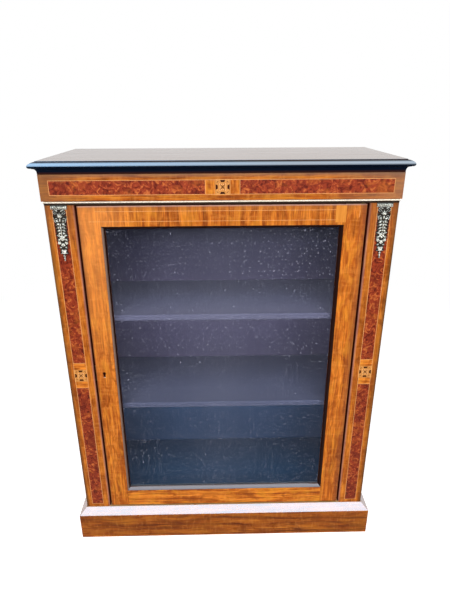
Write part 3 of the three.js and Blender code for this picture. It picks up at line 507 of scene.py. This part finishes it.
def screw(bm, place, turn):
    """A slotted countersunk head, a little proud of the plate, with its slot turned by so many degrees."""
    sizes = bpy.context.scene.cabinet_sizes
    radius, slot, rise, sunk = sizes.screw_head / 2, sizes.screw_slot / 2, 0.3 * MM, 0.6 * MM
    turned = place @ Matrix.Rotation(math.radians(turn), 4, "Z")
    for side in (1, -1):
        half = bmesh.new()
        cone(half, Matrix.Translation((0, 0, (rise - sunk) / 2)), rise + sunk, radius, radius * 0.9, 20)
        cut_off(half, (side * slot, 0, 0), (-side, 0, 0))
        bmesh.ops.transform(half, matrix=turned, verts=half.verts)
        pour(bm, as_mesh(half, "half head"))
    core = turned @ Matrix.Translation((0, 0, -sunk / 2 - 0.1 * MM))
    cone(bm, core, sunk, radius * 0.86, radius * 0.86, 20)


def cone(bm, place, length, base, tip, sides=12):
    """A closed cone or cylinder along the Z of its place, which is its middle."""
    bmesh.ops.create_cone(bm, cap_ends=True, segments=sides, radius1=base, radius2=tip, depth=length,
        matrix=place)


def pin(bm, place, radius):
    """A low domed pin head."""
    bmesh.ops.create_uvsphere(bm, u_segments=12, v_segments=6, radius=radius,
        matrix=place @ Matrix.Diagonal((1, 1, 0.45, 1)))


# Operators


class CABINET_OT_finishes(bpy.types.Operator):
    """Gives every solid of the case, door and lock its finish, and softens the arrises"""

    bl_idname = "cabinet.finishes"
    bl_label = "Finish the solids"

    def execute(self, context):
        colours = context.scene.cabinet_colours
        self.veneer()
        for seed, part in enumerate(nodes("burr_panel", "frieze_burr")):
            dress(burr("burr amboyna, " + part.replace("_", " "), seed), part)
        grounds = plain_wood("boxwood, tablet grounds", colours.boxwood, "#a9682c", "Z", 0.36, 0.5, 0.1)
        dress(grounds, *nodes("tablet_ground"))
        figures = plain_wood("stained wood, tablet figures", colours.inlay, "#1c0600", "Z", 0.5, 0.3, 0.05)
        dress(figures, *nodes("tablet_inlay"))
        aged, dark = "#bd9663", "#8d683d"
        dress(plain_wood("deal, bare and aged", aged, dark, "Z", 0.8), "back_boards",
            *nodes("plinth_block"))
        across = plain_wood("deal, bare and aged, across", aged, dark, "X", 0.8)
        dress(across, "bottom_board", "dust_board", "plinth_back_rail")
        dress(ebonised("ebonised wood, top", "X"), "top_panel", "top_moulding_front")
        dress(ebonised("ebonised wood, ends", "Y"), "top_moulding_left", "top_moulding_right")
        dress(cloth("napped lining cloth"), "cloth_lining")
        dress(cloth("napped cloth, shelves", shelf=True), "shelf_upper", "shelf_lower")
        dress(dusty_glass("window glass, dusty"), "glass_pane")
        metal = brass("brass, hinges and keep", colours.brass, "#6d5426", ("Y", 2, 1))
        dress(metal, *nodes("door_pivot", "case_pivot", "lock_"))
        # the lock's front, seen through the keyhole, is painted near black: painted shade inside the keyhole
        face = BOX["lock_case"][0].y
        shaded_lock = brass("brass, lock", colours.brass, "#0d0906", ("Y", face + 1 * MM, face + 3 * MM))
        dress(shaded_lock, "lock_case")
        # the liner is dark, with a painted highlight along its foot
        foot = BOX["keyhole_liner"][0].z
        dark_to_bright = ("Z", foot + 2.2 * MM, foot + 1.2 * MM)
        dress(brass("brass, keyhole liner", "#dcb79a", "#3c170c", dark_to_bright), "keyhole_liner")
        soften(0.5, *nodes("plinth_front", "plinth_side", "side_panel", "door_rail", "door_stile",
            "frieze_return", "top_panel"))
        soften(0.3, *nodes("top_moulding"))
        return {"FINISHED"}

    def veneer(self):
        """The walnut of the case and door. Along the door's gap its edges have a painted pale highlight and
        painted shade, the pilasters' outer edges and the heads under the moulding have painted shade, the
        frieze is darker towards its ends, and the lip round the glass is stained black."""
        # the first colour is painted shade on the pilasters' outer edges; the second is painted shade along
        # the stiles' edges by the gap, also given to the top lip's foot
        edge_shade, brown = "#4d3518", "#6b3a26"
        inside, head = BOX["door_stile_left"][1].x, BOX["door_stile_left"][1].z
        # painted highlight along the arris of the door's head
        head_glint = ("Z", head - 3.5 * MM, head - 2 * MM, "#b79a94", 0.5)
        # painted shade on the door's head, just below the moulding
        head_shade = ("Z", head - 16 * MM, head - 4 * MM, "#8f5a30", 0.4)
        lip_width, line = 7 * MM, 0.5 * MM
        sight = lip_width - inside
        top_sight = BOX["door_rail_top"][0].z + lip_width
        foot_sight = BOX["door_rail_bottom"][1].z - lip_width
        plinth = dict(tone=0.71, streaks=0.75, gold=0.3, ledge=True, side_shade=False)
        dress(walnut("plinth front", "X", 1, **plinth), "plinth_front")
        dress(walnut("plinth sides", "Y", 2, **plinth), *nodes("plinth_side"))
        sides = walnut("case sides", "Z", 3, 0.85, 0.6, 0.4, side_shade=False)
        dress(sides, *nodes("side_panel"))
        for side, sign, tone, reach, golden in (("left", -1, 1.06, 4, 0.35), ("right", 1, 1.14, 18, 0.0)):
            inner, outer = [corner.x for corner in BOX["pilaster_" + side]][::sign]
            top = BOX["pilaster_" + side][1].z
            # painted highlight, pale along the inner edge by the gap; painted shade on the outer edge;
            # painted shadow at the head under the top's overhang
            bands = (("X", inner + sign * 6 * MM, inner + sign * 1 * MM, "#a07c78", 0.65),
                ("X", outer - sign * 10 * MM, outer - sign * 0.5 * MM, edge_shade, 0.9),
                ("Z", top - 120 * MM, top - 10 * MM, "#7b4726", 0.5))
            seed = 4 if sign < 0 else 5
            pilaster = walnut("%s pilaster" % side, "Z", seed, 0.98, 0.4, 0.45, bands)
            dress(pilaster, "pilaster_" + side)
            edge = [corner.x for corner in BOX["door_stile_" + side]][::sign][1]
            # the upper part of the left stile is painted lighter, where the light falls from above; painted
            # shade along the stile's edge by the gap
            bands = (("Z", 0.5, 0.85, "#ee9a50", golden), head_shade, head_glint,
                ("X", edge - sign * reach * MM, edge - sign * 1 * MM, brown, 0.6))
            # the lip's foot, where it looks to +X as on the left stile, has a painted pale highlight
            lip = ("X", sign * (sight + line), sign * (sight - line), "#8f7466", 0.0)
            stile = walnut("%s stile" % side, "Z", 8 + sign, tone, 0.5, 0.6, bands, lip)
            dress(stile, "door_stile_" + side)
        frieze_end, frieze_head = BOX["frieze_board"][1].x, BOX["frieze_board"][1].z
        # darker grey-brown under the cornice: painted shade with some dust; darker towards both ends
        bands = (("Z", frieze_head - 9 * MM, frieze_head - 1 * MM, "#7d6a58", 0.55),
            ("X", 120 * MM - frieze_end, 1 * MM - frieze_end, "#7a5232", 0.75),
            ("X", frieze_end - 170 * MM, frieze_end - 1 * MM, "#80604a", 0.65))
        dress(walnut("frieze", "X", 6, 0.92, 0.35, 0.5, bands), "frieze_board")
        returns = walnut("frieze returns", "Y", 7, 0.9, 0.35, 0.4, bands[:1], side_shade=False)
        dress(returns, *nodes("frieze_return"))
        # the top rail is painted lighter towards its left end, where the light falls from the upper left
        lip = ("Z", top_sight + line, top_sight - line, brown, 0.0)
        bands = (("X", -0.19, -0.26, "#ee9a50", 0.3), head_shade, head_glint)
        dress(walnut("top rail crossband", "Z", 10, 1.0, 0.5, 0.6, bands, lip), "door_rail_top")
        # the lip's foot, where it looks up, has a painted pale highlight and a gloss
        lip = ("Z", foot_sight - line, foot_sight + line, "#5c4a46", 1.0)
        dress(walnut("bottom rail", "X", 11, 1.12, 0.4, 0.9, (), lip), "door_rail_bottom")
        inner = walnut("inside of the case", "Z", 12, 0.8, 0.4, 0.4, side_shade=False)
        dress(inner, *nodes("glazing_bead", "shelf_bearer"))
        # the door stop is painted near black, as shade seen through the gap round the door
        dress(walnut("door stop painted dark as shade", "Z", 13, 0.08, 0.2, 0.0, side_shade=False), "door_stop")
        # grey-blue: dust, with a painted reflection of the sky
        dress(plain_wood("walnut bead, dust and painted sky reflection", "#59636f", "#3c424c", "X", 0.6), "glazing_bead_bottom")


class CABINET_OT_stringing(bpy.types.Operator):
    """Lays the boxwood lines round the burr panels and on the door's top rail, and the tablets' dots"""

    bl_idname = "cabinet.stringing"
    bl_label = "Lay the stringing"

    def execute(self, context):
        sizes = context.scene.cabinet_sizes
        boxwood = plain_wood("boxwood, stringing", "#dc9f5e", "#b87536", "Z", 0.36, 0.5)
        width = sizes.stringing
        for side in ("left", "right"):
            bm = bmesh.new()
            upper, lower = BOX["burr_panel_upper_" + side], BOX["burr_panel_lower_" + side]
            outline(bm, *upper, width)
            outline(bm, *lower, width)
            (x0, face, z1), x1, z0 = upper[0], upper[1].x, lower[1].z
            outline(bm, (x0, face, z0 + width), (x1, face, z1 - width), width, "LR")
            make_piece("stringing_pilaster_" + side, bm, boxwood, "carcase")
        bm = bmesh.new()
        for side in ("left", "right"):
            outline(bm, *BOX["frieze_burr_" + side], width)
        (x, face, foot), head = BOX["frieze_burr_right"][0], BOX["frieze_burr_right"][1].z
        outline(bm, (width - x, face, foot), (x - width, face, head), width, "TB")
        make_piece("stringing_frieze", bm, boxwood, "carcase")
        bm = bmesh.new()
        face, head, fine = BOX["door_stile_left"][0].y, BOX["door_stile_left"][1].z, sizes.fine_line
        for x0, x1, below, height in ((-281.7 * MM, REPAIR_LEFT, 13 * MM, fine),
                (-297.5 * MM, REPAIR_LEFT, 35.6 * MM, fine), (UPRIGHT_LINE, UPRIGHT_LINE + fine, 30 * MM,
                15 * MM)):
            z = head - below
            strip(bm, (x0, face - sizes.proud, z), (x1, face + INLAY_DEPTH, z + height))
        make_piece("stringing_door", bm, boxwood, "door")
        pale = plain_wood("holly, tablet dots", "#f8cc98", "#e3aa6c", "Z", 0.36, 0.3, 0.1)
        self.dots("tablet_dots_pale", ((6.4, 6.4), (2.1, 5.6), (5.6, 2.1)), 1.0, pale, "boxwood")
        stained = plain_wood("stained wood, tablet dots", "#4a1804", "#2a0a02", "Z", 0.5, 0.3, 0.05)
        self.dots("tablet_dots_dark", ((4.4, 4.4),), 1.1, stained, "dark_inlay")
        return {"FINISHED"}

    def dots(self, name, places, share, wood, slot):
        """Round dots in the four quarters of each tablet, at places in millimetres from its middle."""
        sizes = bpy.context.scene.cabinet_sizes
        radius = sizes.dot / 2 * share
        bm = bmesh.new()
        for part in nodes("tablet_ground"):
            low, high = BOX[part]
            middle = (low + high) / 2
            for x, z in places:
                for across, up in ((1, 1), (1, -1), (-1, 1), (-1, -1)):
                    dot = turned_to((middle.x + across * x * MM, low.y, middle.z + up * z * MM), (0, -1, 0))
                    cone(bm, dot, 2 * sizes.proud, radius, radius)
        make_piece(name, bm, wood, "carcase")


class CABINET_OT_crossbands(bpy.types.Operator):
    """Lays the paler veneer beside the tablets and the old repair in the door's top rail"""

    bl_idname = "cabinet.crossbands"
    bl_label = "Lay the paler veneer"

    def execute(self, context):
        sizes = context.scene.cabinet_sizes
        width, thin, backing = sizes.stringing, 0.05 * MM, 0.3 * MM
        across = walnut("crossband by the tablets", "X", 21, 1.12, 0.3, 0.9, side_shade=False)
        for side in ("left", "right"):
            bm = bmesh.new()
            upper, lower = BOX["burr_panel_upper_" + side], BOX["burr_panel_lower_" + side]
            tablet = BOX["tablet_ground_" + side]
            face = upper[0].y
            for z in ((lower[1].z + width, tablet[0].z), (tablet[1].z, upper[0].z - width)):
                strip(bm, (upper[0].x, face - thin, z[0]), (upper[1].x, face + backing, z[1]))
            make_piece("crossband_pilaster_" + side, bm, across, "carcase")
        bm = bmesh.new()
        low, high = BOX["frieze_burr_right"]
        tablet = BOX["tablet_ground_frieze"]
        for sign in (-1, 1):
            x = sorted((sign * tablet[1].x, sign * (low.x - width)))
            strip(bm, (x[0], low.y - thin, low.z), (x[1], low.y + backing, high.z))
        upright = walnut("crossband of the frieze", "Z", 22, 1.0, 0.4, 0.8, side_shade=False)
        make_piece("crossband_frieze", bm, upright, "carcase")
        bm = bmesh.new()
        face, head = BOX["door_stile_left"][0].y, BOX["door_stile_left"][1].z
        strip(bm, (REPAIR_LEFT, face - thin, head - 41 * MM), (REPAIR_RIGHT, face + backing, head - 3 * MM))
        patch = plain_wood("walnut, pale repair", "#cf8430", "#b86c20", "Z", 0.3, 0.6, 0.1)
        make_piece("repair_door", bm, patch, "door")
        return {"FINISHED"}


class CABINET_OT_rope(bpy.types.Operator):
    """Twists the strands of the brass rope moulding under the frieze, over the hollow that they lie in"""

    bl_idname = "cabinet.rope"
    bl_label = "Twist the rope moulding"

    def execute(self, context):
        sizes = context.scene.cabinet_sizes
        low, high = BOX["rope_moulding"]
        radius = sizes.rope_strand / 2
        inset = sizes.rope_strand + 0.4 * MM
        middle = Vector((low.x, high.y - inset, high.z - inset))
        repeats = round((high.x - low.x) / sizes.rope_lay)
        lay = (high.x - low.x) / repeats
        steps = 20
        # painted light and shade: strands and backing are bright above their middle, as lit from above, and
        # dark below it, as in shade
        dark_to_bright = ("Z", middle.z - 1.2 * MM, middle.z + 0.6 * MM)
        material = brass("rolled brass, lacquered", "#efdcc2", "#3a2a20", dark_to_bright, 0.42)
        bm = bmesh.new()
        for strand in range(sizes.rope_strands):
            angle = 2 * math.pi * strand / sizes.rope_strands
            turned = Matrix.Translation(middle) @ Matrix.Rotation(angle, 4, "X")
            upright = Matrix.Translation((0, 0, radius)) @ Matrix.Rotation(math.pi / 2, 4, "Y")
            ring = bmesh.ops.create_circle(bm, segments=10, radius=radius, matrix=turned @ upright)["verts"]
            edges = list({e for v in ring for e in v.link_edges})
            bmesh.ops.spin(bm, geom=ring + edges, cent=middle, axis=(1, 0, 0), dvec=(lay / steps, 0, 0),
                angle=2 * math.pi, steps=steps, use_merge=False)
        bmesh.ops.remove_doubles(bm, verts=bm.verts, dist=0.000001)
        strip(bm, (low.x, high.y - 0.8 * MM, low.z), (low.x + lay, high.y, high.z))
        piece = make_piece("rope_strands", bm, material, "carcase", smooth=True)
        having(piece.modifiers.new("row", "ARRAY"), count=repeats, use_relative_offset=False,
            use_constant_offset=True, constant_offset_displace=(lay, 0, 0), use_merge_vertices=True,
            merge_threshold=0.00002)
        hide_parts("rope_moulding")
        return {"FINISHED"}


class Casting:
    """Places the lobes of one mount, in millimetres across from its middle and down from its top. A new
    batch is begun after so many vertices, because a small mesh grows fastest."""

    batch_size = 1500

    def __init__(self, top, side):
        self.batches = [bmesh.new()]
        self.top = Matrix.Translation(top)
        self.side = side

    def whole(self):
        """All lobes as one mesh."""
        bm = bmesh.new()
        for batch in self.batches:
            pour(bm, as_mesh(batch, "lobes"))
        return as_mesh(bm, "rough casting")

    def at(self, x, down, out=0.0, turn=0.0):
        moved = Matrix.Translation((self.side * x * MM, -out * MM, -down * MM))
        return self.top @ moved @ Matrix.Rotation(self.side * math.radians(turn), 4, "Y")

    def ball(self, place, size):
        """A rounded lump with its half sizes across, out and up."""
        if len(self.batches[-1].verts) > self.batch_size:
            self.batches.append(bmesh.new())
        bmesh.ops.create_uvsphere(self.batches[-1], u_segments=12, v_segments=8, radius=1,
            matrix=place @ Matrix.Diagonal((*[s * MM for s in size], 1)))

    def drop(self, place, length, width, height):
        """A lobe that is round where it starts and pointed where it ends, along -Z of its place."""
        start = 0.36 * length
        self.ball(place @ Matrix.Translation((0, 0, -start * MM)), (width / 2, height, start))
        middle = place @ Matrix.Translation((0, 0, -(length + start) / 2 * MM))
        flat = Matrix.Diagonal((1, 1.96 * height / width, 1, 1))
        cone(self.batches[-1], middle @ flat, (length - start) * MM, 0.06 * width * MM, 0.49 * width * MM)

    def lump(self, x, down, size, out=0.0):
        self.ball(self.at(x, down, out), size)

    def leaf(self, x, down, length, width, height, turn):
        """Three lobes with a groove on each side of the middle one. Turn is degrees from straight down."""
        for fan, share, rise in ((0, 1.0, 1.0), (17, 0.8, 0.75), (-17, 0.8, 0.75)):
            self.drop(self.at(x, down, 0, turn + fan), length * share, width * 0.46, height * rise)

    def pair(self, x, down, length, width, height, turn):
        self.leaf(x, down, length, width, height, -turn)
        self.leaf(-x, down, length, width, height, turn)

    def volute(self, x, down, radius, start, sweep, thick, tail):
        """A tapering scroll on each side that winds in to an eye, with a bowed tail from its outer end. Start
        and sweep are degrees."""
        foot = math.radians(start)
        first = (x + radius * math.sin(foot), down - radius * math.cos(foot))
        steps = max(12, int(abs(sweep) / 14))
        for sign in (1, -1):
            for step in range(steps + 1):
                share = step / steps
                angle = math.radians(start + sweep * share)
                reach = radius * (1 - 0.72 * share)
                girth = thick * (1 - 0.45 * share)
                place = (sign * (x + reach * math.sin(angle)), down - reach * math.cos(angle))
                self.lump(*place, (girth, girth * 1.9, girth), 0.6)
            self.lump(sign * x, down, (thick * 0.8, thick * 2.2, thick * 0.8), 0.6)
            for step in range(12):
                share = step / 11
                place = [a + (b - a) * share for a, b in zip(first, tail)]
                bow = math.sin(math.pi * share) * 1.6
                girth = thick * (1 - 0.5 * share)
                self.lump(sign * (place[0] + bow), place[1], (girth, girth * 1.8, girth), 0.5)

    def rosette(self, x, down, radius, petals, height):
        for petal in range(petals):
            place = self.at(x, down, 0.3, 360 * petal / petals)
            place = place @ Matrix.Translation((0, 0, -radius * 0.12 * MM))
            self.drop(place, radius, radius * 0.8, height * 0.72)
        self.lump(x, down, (radius * 0.3, height, radius * 0.3), 0.4)


def cast_mount(top, side):
    """A capped pendant: beaded cap, volutes round a palmette, chevron leaves, rosettes and a drop of husks,
    all on a thin ground that fills the gaps between them."""
    work = Casting(top, side)
    # half widths of the thin ground
    halves = (17, 15, 15, 14.8, 14.4, 14.2, 14.4, 14.4, 14.4, 14.4, 14.2, 14, 14, 14, 14, 13.6, 12.6, 11,
        9.5, 8.5, 7.5, 5.5)
    for down, half in zip((6, *range(12, 113, 5)), halves):
        work.lump(0, down, (half, 0.9, 4.4))
    for x in range(-17, 18, 2):
        work.lump(x, 2.4, (1.3, 1.5, 2.0))
    for step in range(9):
        work.lump(-16 + 4 * step, 7.8, (2.3, 4.4, 3.1))
    for x in range(-18, 19, 1):
        work.lump(x * 0.97, 4.6, (1.2, 2.6, 0.7))
        work.lump(x * 0.97, 11.2, (1.2, 2.9, 0.7))
    work.volute(9.0, 18.6, 5.6, -60, 430, 1.3, (3.0, 12.8))
    work.volute(8.0, 35.6, 5.2, 150, -400, 1.2, (14.2, 23.0))
    for turn, length in ((180, 14), (152, 12), (208, 12), (126, 9), (234, 9)):
        work.drop(work.at(0, 30.0, 0.8, turn), length, 3.3, 3.8)
    work.lump(0, 35.0, (2.6, 5.0, 4.4), 0.3)
    work.pair(2.0, 40.0, 14.0, 5.0, 3.6, 116)
    for down, length, turn in ((42.5, 16.5, 64), (49.5, 16.5, 62), (56.5, 15.5, 60), (63.0, 14.0, 56)):
        work.pair(1.0, down, length, 5.2, 3.8, turn)
        work.drop(work.at(0, down, 1.2), 9.5, 3.8, 4.4)
    work.pair(2.5, 71.5, 14.5, 4.8, 3.4, 102)
    work.pair(3.0, 79.0, 14.0, 4.8, 3.4, 80)
    work.rosette(0, 76.0, 8.2, 6, 5.2)
    work.rosette(7.6, 87.0, 5.2, 5, 4.2)
    work.rosette(-7.6, 87.0, 5.2, 5, 4.2)
    work.rosette(0, 91.5, 6.0, 5, 5.0)
    work.pair(2.0, 96.0, 12.5, 4.6, 3.0, 70)
    work.pair(1.5, 102.0, 11.5, 4.2, 3.0, 50)
    work.rosette(0, 108.5, 6.6, 6, 5.0)
    work.pair(2.5, 111.0, 9.5, 3.6, 2.6, 84)
    for down, size in ((114.5, 1.0), (120.3, 0.84), (125.4, 0.68)):
        work.drop(work.at(0, down, 0.6), 7.8 * size, 4.4 * size, 4.0 * size)
        for turn in (-36, 36):
            work.drop(work.at(0, down, 0.4, turn), 6.8 * size, 3.0 * size, 3.0 * size)
    return work.whole()


class CABINET_OT_mounts(bpy.types.Operator):
    """Casts the gilt mounts at the heads of the pilasters"""

    bl_idname = "cabinet.mounts"
    bl_label = "Cast the mounts"

    def execute(self, context):
        gilt = context.scene.cabinet_colours.gilt
        for name, side in (("left", 1), ("right", -1)):
            low, high = BOX["pilaster_mount_" + name]
            top = Vector(((low.x + high.x) / 2, high.y, high.z + 3 * MM))
            form = stand("rough casting", cast_mount(top, side))
            grain_size = context.scene.cabinet_sizes.casting_grain
            having(form.modifiers.new("skin", "REMESH"), mode="VOXEL", voxel_size=grain_size)
            having(form.modifiers.new("smooth", "SMOOTH"), factor=0.5, iterations=2)
            context.view_layer.update()
            cast = bpy.data.meshes.new_from_object(form.evaluated_get(context.evaluated_depsgraph_get()))
            bpy.data.objects.remove(form)
            bm = bmesh.new()
            pour(bm, cast)
            cut_off(bm, top, (0, 1, 0))
            dark_to_bright = ("Y", high.y - 1.2 * MM, high.y - 3.1 * MM)
            material = brass("cast gilt brass, " + name, gilt, "#2c2620", dark_to_bright, 0.36, 0.95)
            piece = make_piece("casting_" + name, bm, material, "carcase", smooth=True)
            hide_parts("pilaster_mount_" + name)
        return {"FINISHED"}


class CABINET_OT_fixings(bpy.types.Operator):
    """Drives the screws of the lock, keep, pivots, bearers and back, and the pins of the beads"""

    bl_idname = "cabinet.fixings"
    bl_label = "Drive the screws and pins"

    def execute(self, context):
        metal = brass("brass, screws and pins", context.scene.cabinet_colours.brass, "#6d5426", ("Y", 2, 1))
        # each head is its place, the way it looks and the turn of its slot in degrees
        turns = (20, 75, -40, 10, 55, -15)
        heads = {"door": [], "case": [], "bearers": [], "back": []}
        low, high = BOX["lock_case"]
        for turn, x, z in zip(turns, (8, 28, 8, 28), (6, 6, 54, 54)):
            heads["door"].append(((low.x + x * MM, high.y, low.z + z * MM), (0, 1, 0), turn))
        low, high = BOX["lock_keep"]
        for turn, z in zip(turns, (low.z + 5 * MM, high.z - 5 * MM)):
            heads["case"].append(((high.x, (low.y + high.y) / 2, z), (1, 0, 0), turn))
        floor, head = BOX["door_stop"][0].z, BOX["door_stop"][1].z
        foot, top = BOX["door_pivot_plate_bottom"][0].z, BOX["door_pivot_plate_top"][1].z
        for owner, plate, face, way in (("door", "door_pivot_plate_bottom", foot, -1),
                ("door", "door_pivot_plate_top", top, 1), ("case", "case_pivot_bottom", floor, 1),
                ("case", "case_pivot_top", head, -1)):
            low, high = BOX[plate]
            for turn, x in ((35, 7), (-25, 21)):
                heads[owner].append(((low.x + x * MM, (low.y + high.y) / 2, face), (0, 0, way), turn))
        for part in nodes("shelf_bearer"):
            low, high = BOX[part]
            x, way = (high.x, 1) if part.endswith("left") else (low.x, -1)
            for turn, share in zip(turns[1:], (0.12, 0.5, 0.88)):
                y = low.y + share * (high.y - low.y)
                heads["bearers"].append(((x, y, (low.z + high.z) / 2), (way, 0, 0), turn))
        low, high = BOX["back_boards"]
        board = (high.x - low.x) / 5
        for index in range(5):
            for row, z in enumerate((low.z + 9 * MM, (low.z + high.z) / 2, high.z - 9 * MM)):
                for place in (0.2, 0.8):
                    x = low.x + (index + place) * board
                    heads["back"].append(((x, high.y, z), (0, 1, 0), turns[(index + row) % 6]))
        for name, places in heads.items():
            bm = bmesh.new()
            for place, way, turn in places:
                screw(bm, turned_to(place, way), turn)
            body = "door" if name == "door" else "carcase"
            make_piece("screws_" + name, bm, metal, body)
        bm = bmesh.new()
        for part in nodes("glazing_bead"):
            low, high = BOX[part]
            middle, size = (low + high) / 2, high - low
            across, up = (0, size.z) if size.z > size.x else (size.x, 0)
            for share in (-0.42, -0.14, 0.14, 0.42):
                place = turned_to((middle.x + share * across, high.y, middle.z + share * up), (0, 1, 0))
                pin(bm, place, context.scene.cabinet_sizes.pin_head / 2)
        make_piece("pins_beads", bm, metal, "door")
        return {"FINISHED"}


class CABINET_OT_stage(bpy.types.Operator):
    """Sets the floor, the lights and the camera"""

    bl_idname = "cabinet.stage"
    bl_label = "Set the stage"

    def execute(self, context):
        scene = context.scene
        scene.view_settings.view_transform = "Standard"
        self.floor()
        self.lights(scene)
        self.camera(scene)
        return {"FINISHED"}

    def floor(self):
        """A pale floor that keeps the shadow and runs out to plain white."""
        bm = bmesh.new()
        bmesh.ops.create_grid(bm, x_segments=1, y_segments=1, size=12)
        floor = stand("floor", as_mesh(bm, "floor"))
        material, tree = new_material("pale studio floor")
        matt = add(tree, "BsdfDiffuse", {"Color": (0.9, 0.9, 0.9)})
        seen = showing(tree)
        lift = add(tree, "Math", {0: seen, 1: 0.6}, operation="MULTIPLY")
        glow = add(tree, "Emission", {"Color": (1, 1, 1), "Strength": lift})
        near = add(tree, "AddShader", {0: matt, 1: glow})
        white = add(tree, "Emission", {"Color": (1, 1, 1), "Strength": 1.0})
        away = add(tree, "VectorMath", {0: tree.nodes["place"].outputs["Object"]}, operation="LENGTH")
        far = add(tree, "MapRange", span(away.outputs["Value"], 0.9, 2.2))
        far = add(tree, "Math", {0: far, 1: seen}, operation="MULTIPLY")
        whole = add(tree, "MixShader", {0: far, 1: near, 2: white})
        add(tree, "OutputMaterial", {"Surface": whole})
        floor.data.materials.append(material)

    def lights(self, scene):
        """A white surround, two lamps that light the cabinet, and the bluish windows that polish mirrors."""
        world = bpy.data.worlds.new("studio")
        scene.world = world
        world.use_nodes = True
        tree = world.node_tree
        tree.nodes.clear()
        colour = add(tree, "Mix", {0: showing(tree), 6: (0.3, 0.31, 0.34), 7: (1, 1, 1)}, data_type="RGBA")
        sky = add(tree, "Background", {"Color": colour.outputs[2], "Strength": 1.0})
        add(tree, "OutputWorld", {"Surface": sky})
        blue = (0.62, 0.8, 1)
        lamps = (("front lamp", (0, -3.15, 1.86), (0, -0.1, 0.09), (3.0, 0.42), 58, (1, 1, 1), False),
            ("sky lamp", (0, -1.5, 3.0), (0, 0, 0.7), (3.0, 1.3), 60, (1, 1, 1), False),
            ("window, front", (0, -3.3, 2.0), (0, 0, 2.0), (6.0, 3.1), 175, blue, True),
            ("window, above", (0, -0.6, 3.6), (0, -0.6, 0), (6.0, 5.4), 300, blue, True))
        for name, place, aim, size, power, tint, mirrored in lamps:
            data = having(bpy.data.lights.new(name, "AREA"), shape="RECTANGLE", size=size[0],
                size_y=size[1], energy=power, color=tint)
            turned = (Vector(aim) - Vector(place)).to_track_quat("-Z", "Y").to_euler()
            having(stand(name, data), location=place, rotation_euler=turned, visible_camera=False,
                visible_transmission=False, visible_diffuse=not mirrored, visible_glossy=mirrored)

    def camera(self, scene):
        """The photograph's view."""
        data = having(bpy.data.cameras.new("camera"), lens=28.808, sensor_width=36, clip_end=60)
        scene.camera = stand("camera", data)
        place = Matrix.Translation((-0.0151, -1.2061, 1.1488))
        yaw, pitch, roll = 0.0181, -0.3823, -0.0048
        for angle, axis in ((-yaw, "Z"), (math.pi / 2 + pitch, "X"), (roll, "Z")):
            place = place @ Matrix.Rotation(angle, 4, axis)
        scene.camera.matrix_world = place


class CABINET_PT_panel(bpy.types.Panel):
    """Lists the steps and settings of the cabinet"""

    bl_idname = "CABINET_PT_panel"
    bl_label = "Glazed pier cabinet"
    bl_space_type = "VIEW_3D"
    bl_region_type = "UI"
    bl_category = "Cabinet"

    def draw(self, context):
        for operator in OPERATORS:
            self.layout.operator(operator.bl_idname)
        for group in (context.scene.cabinet_sizes, context.scene.cabinet_colours):
            box = self.layout.box()
            for key in group.bl_rna.properties.keys():
                if key not in ("rna_type", "name"):
                    box.prop(group, key)


OPERATORS = (CABINET_OT_finishes, CABINET_OT_stringing, CABINET_OT_crossbands, CABINET_OT_rope,
    CABINET_OT_mounts, CABINET_OT_fixings, CABINET_OT_stage)
CLASSES = (CabinetSizes, CabinetColours, *OPERATORS, CABINET_PT_panel)


def register():
    for cls in CLASSES:
        bpy.utils.register_class(cls)
    bpy.types.Scene.cabinet_sizes = PointerProperty(type=CabinetSizes)
    bpy.types.Scene.cabinet_colours = PointerProperty(type=CabinetColours)


def unregister():
    del bpy.types.Scene.cabinet_colours
    del bpy.types.Scene.cabinet_sizes
    for cls in reversed(CLASSES):
        bpy.utils.unregister_class(cls)


def main():
    register()
    bpy.ops.cabinet.finishes()
    bpy.ops.cabinet.stringing()
    bpy.ops.cabinet.crossbands()
    bpy.ops.cabinet.rope()
    bpy.ops.cabinet.mounts()
    bpy.ops.cabinet.fixings()
    bpy.ops.cabinet.stage()
    bpy.context.view_layer.update()


if __name__ == "__main__":
    main()
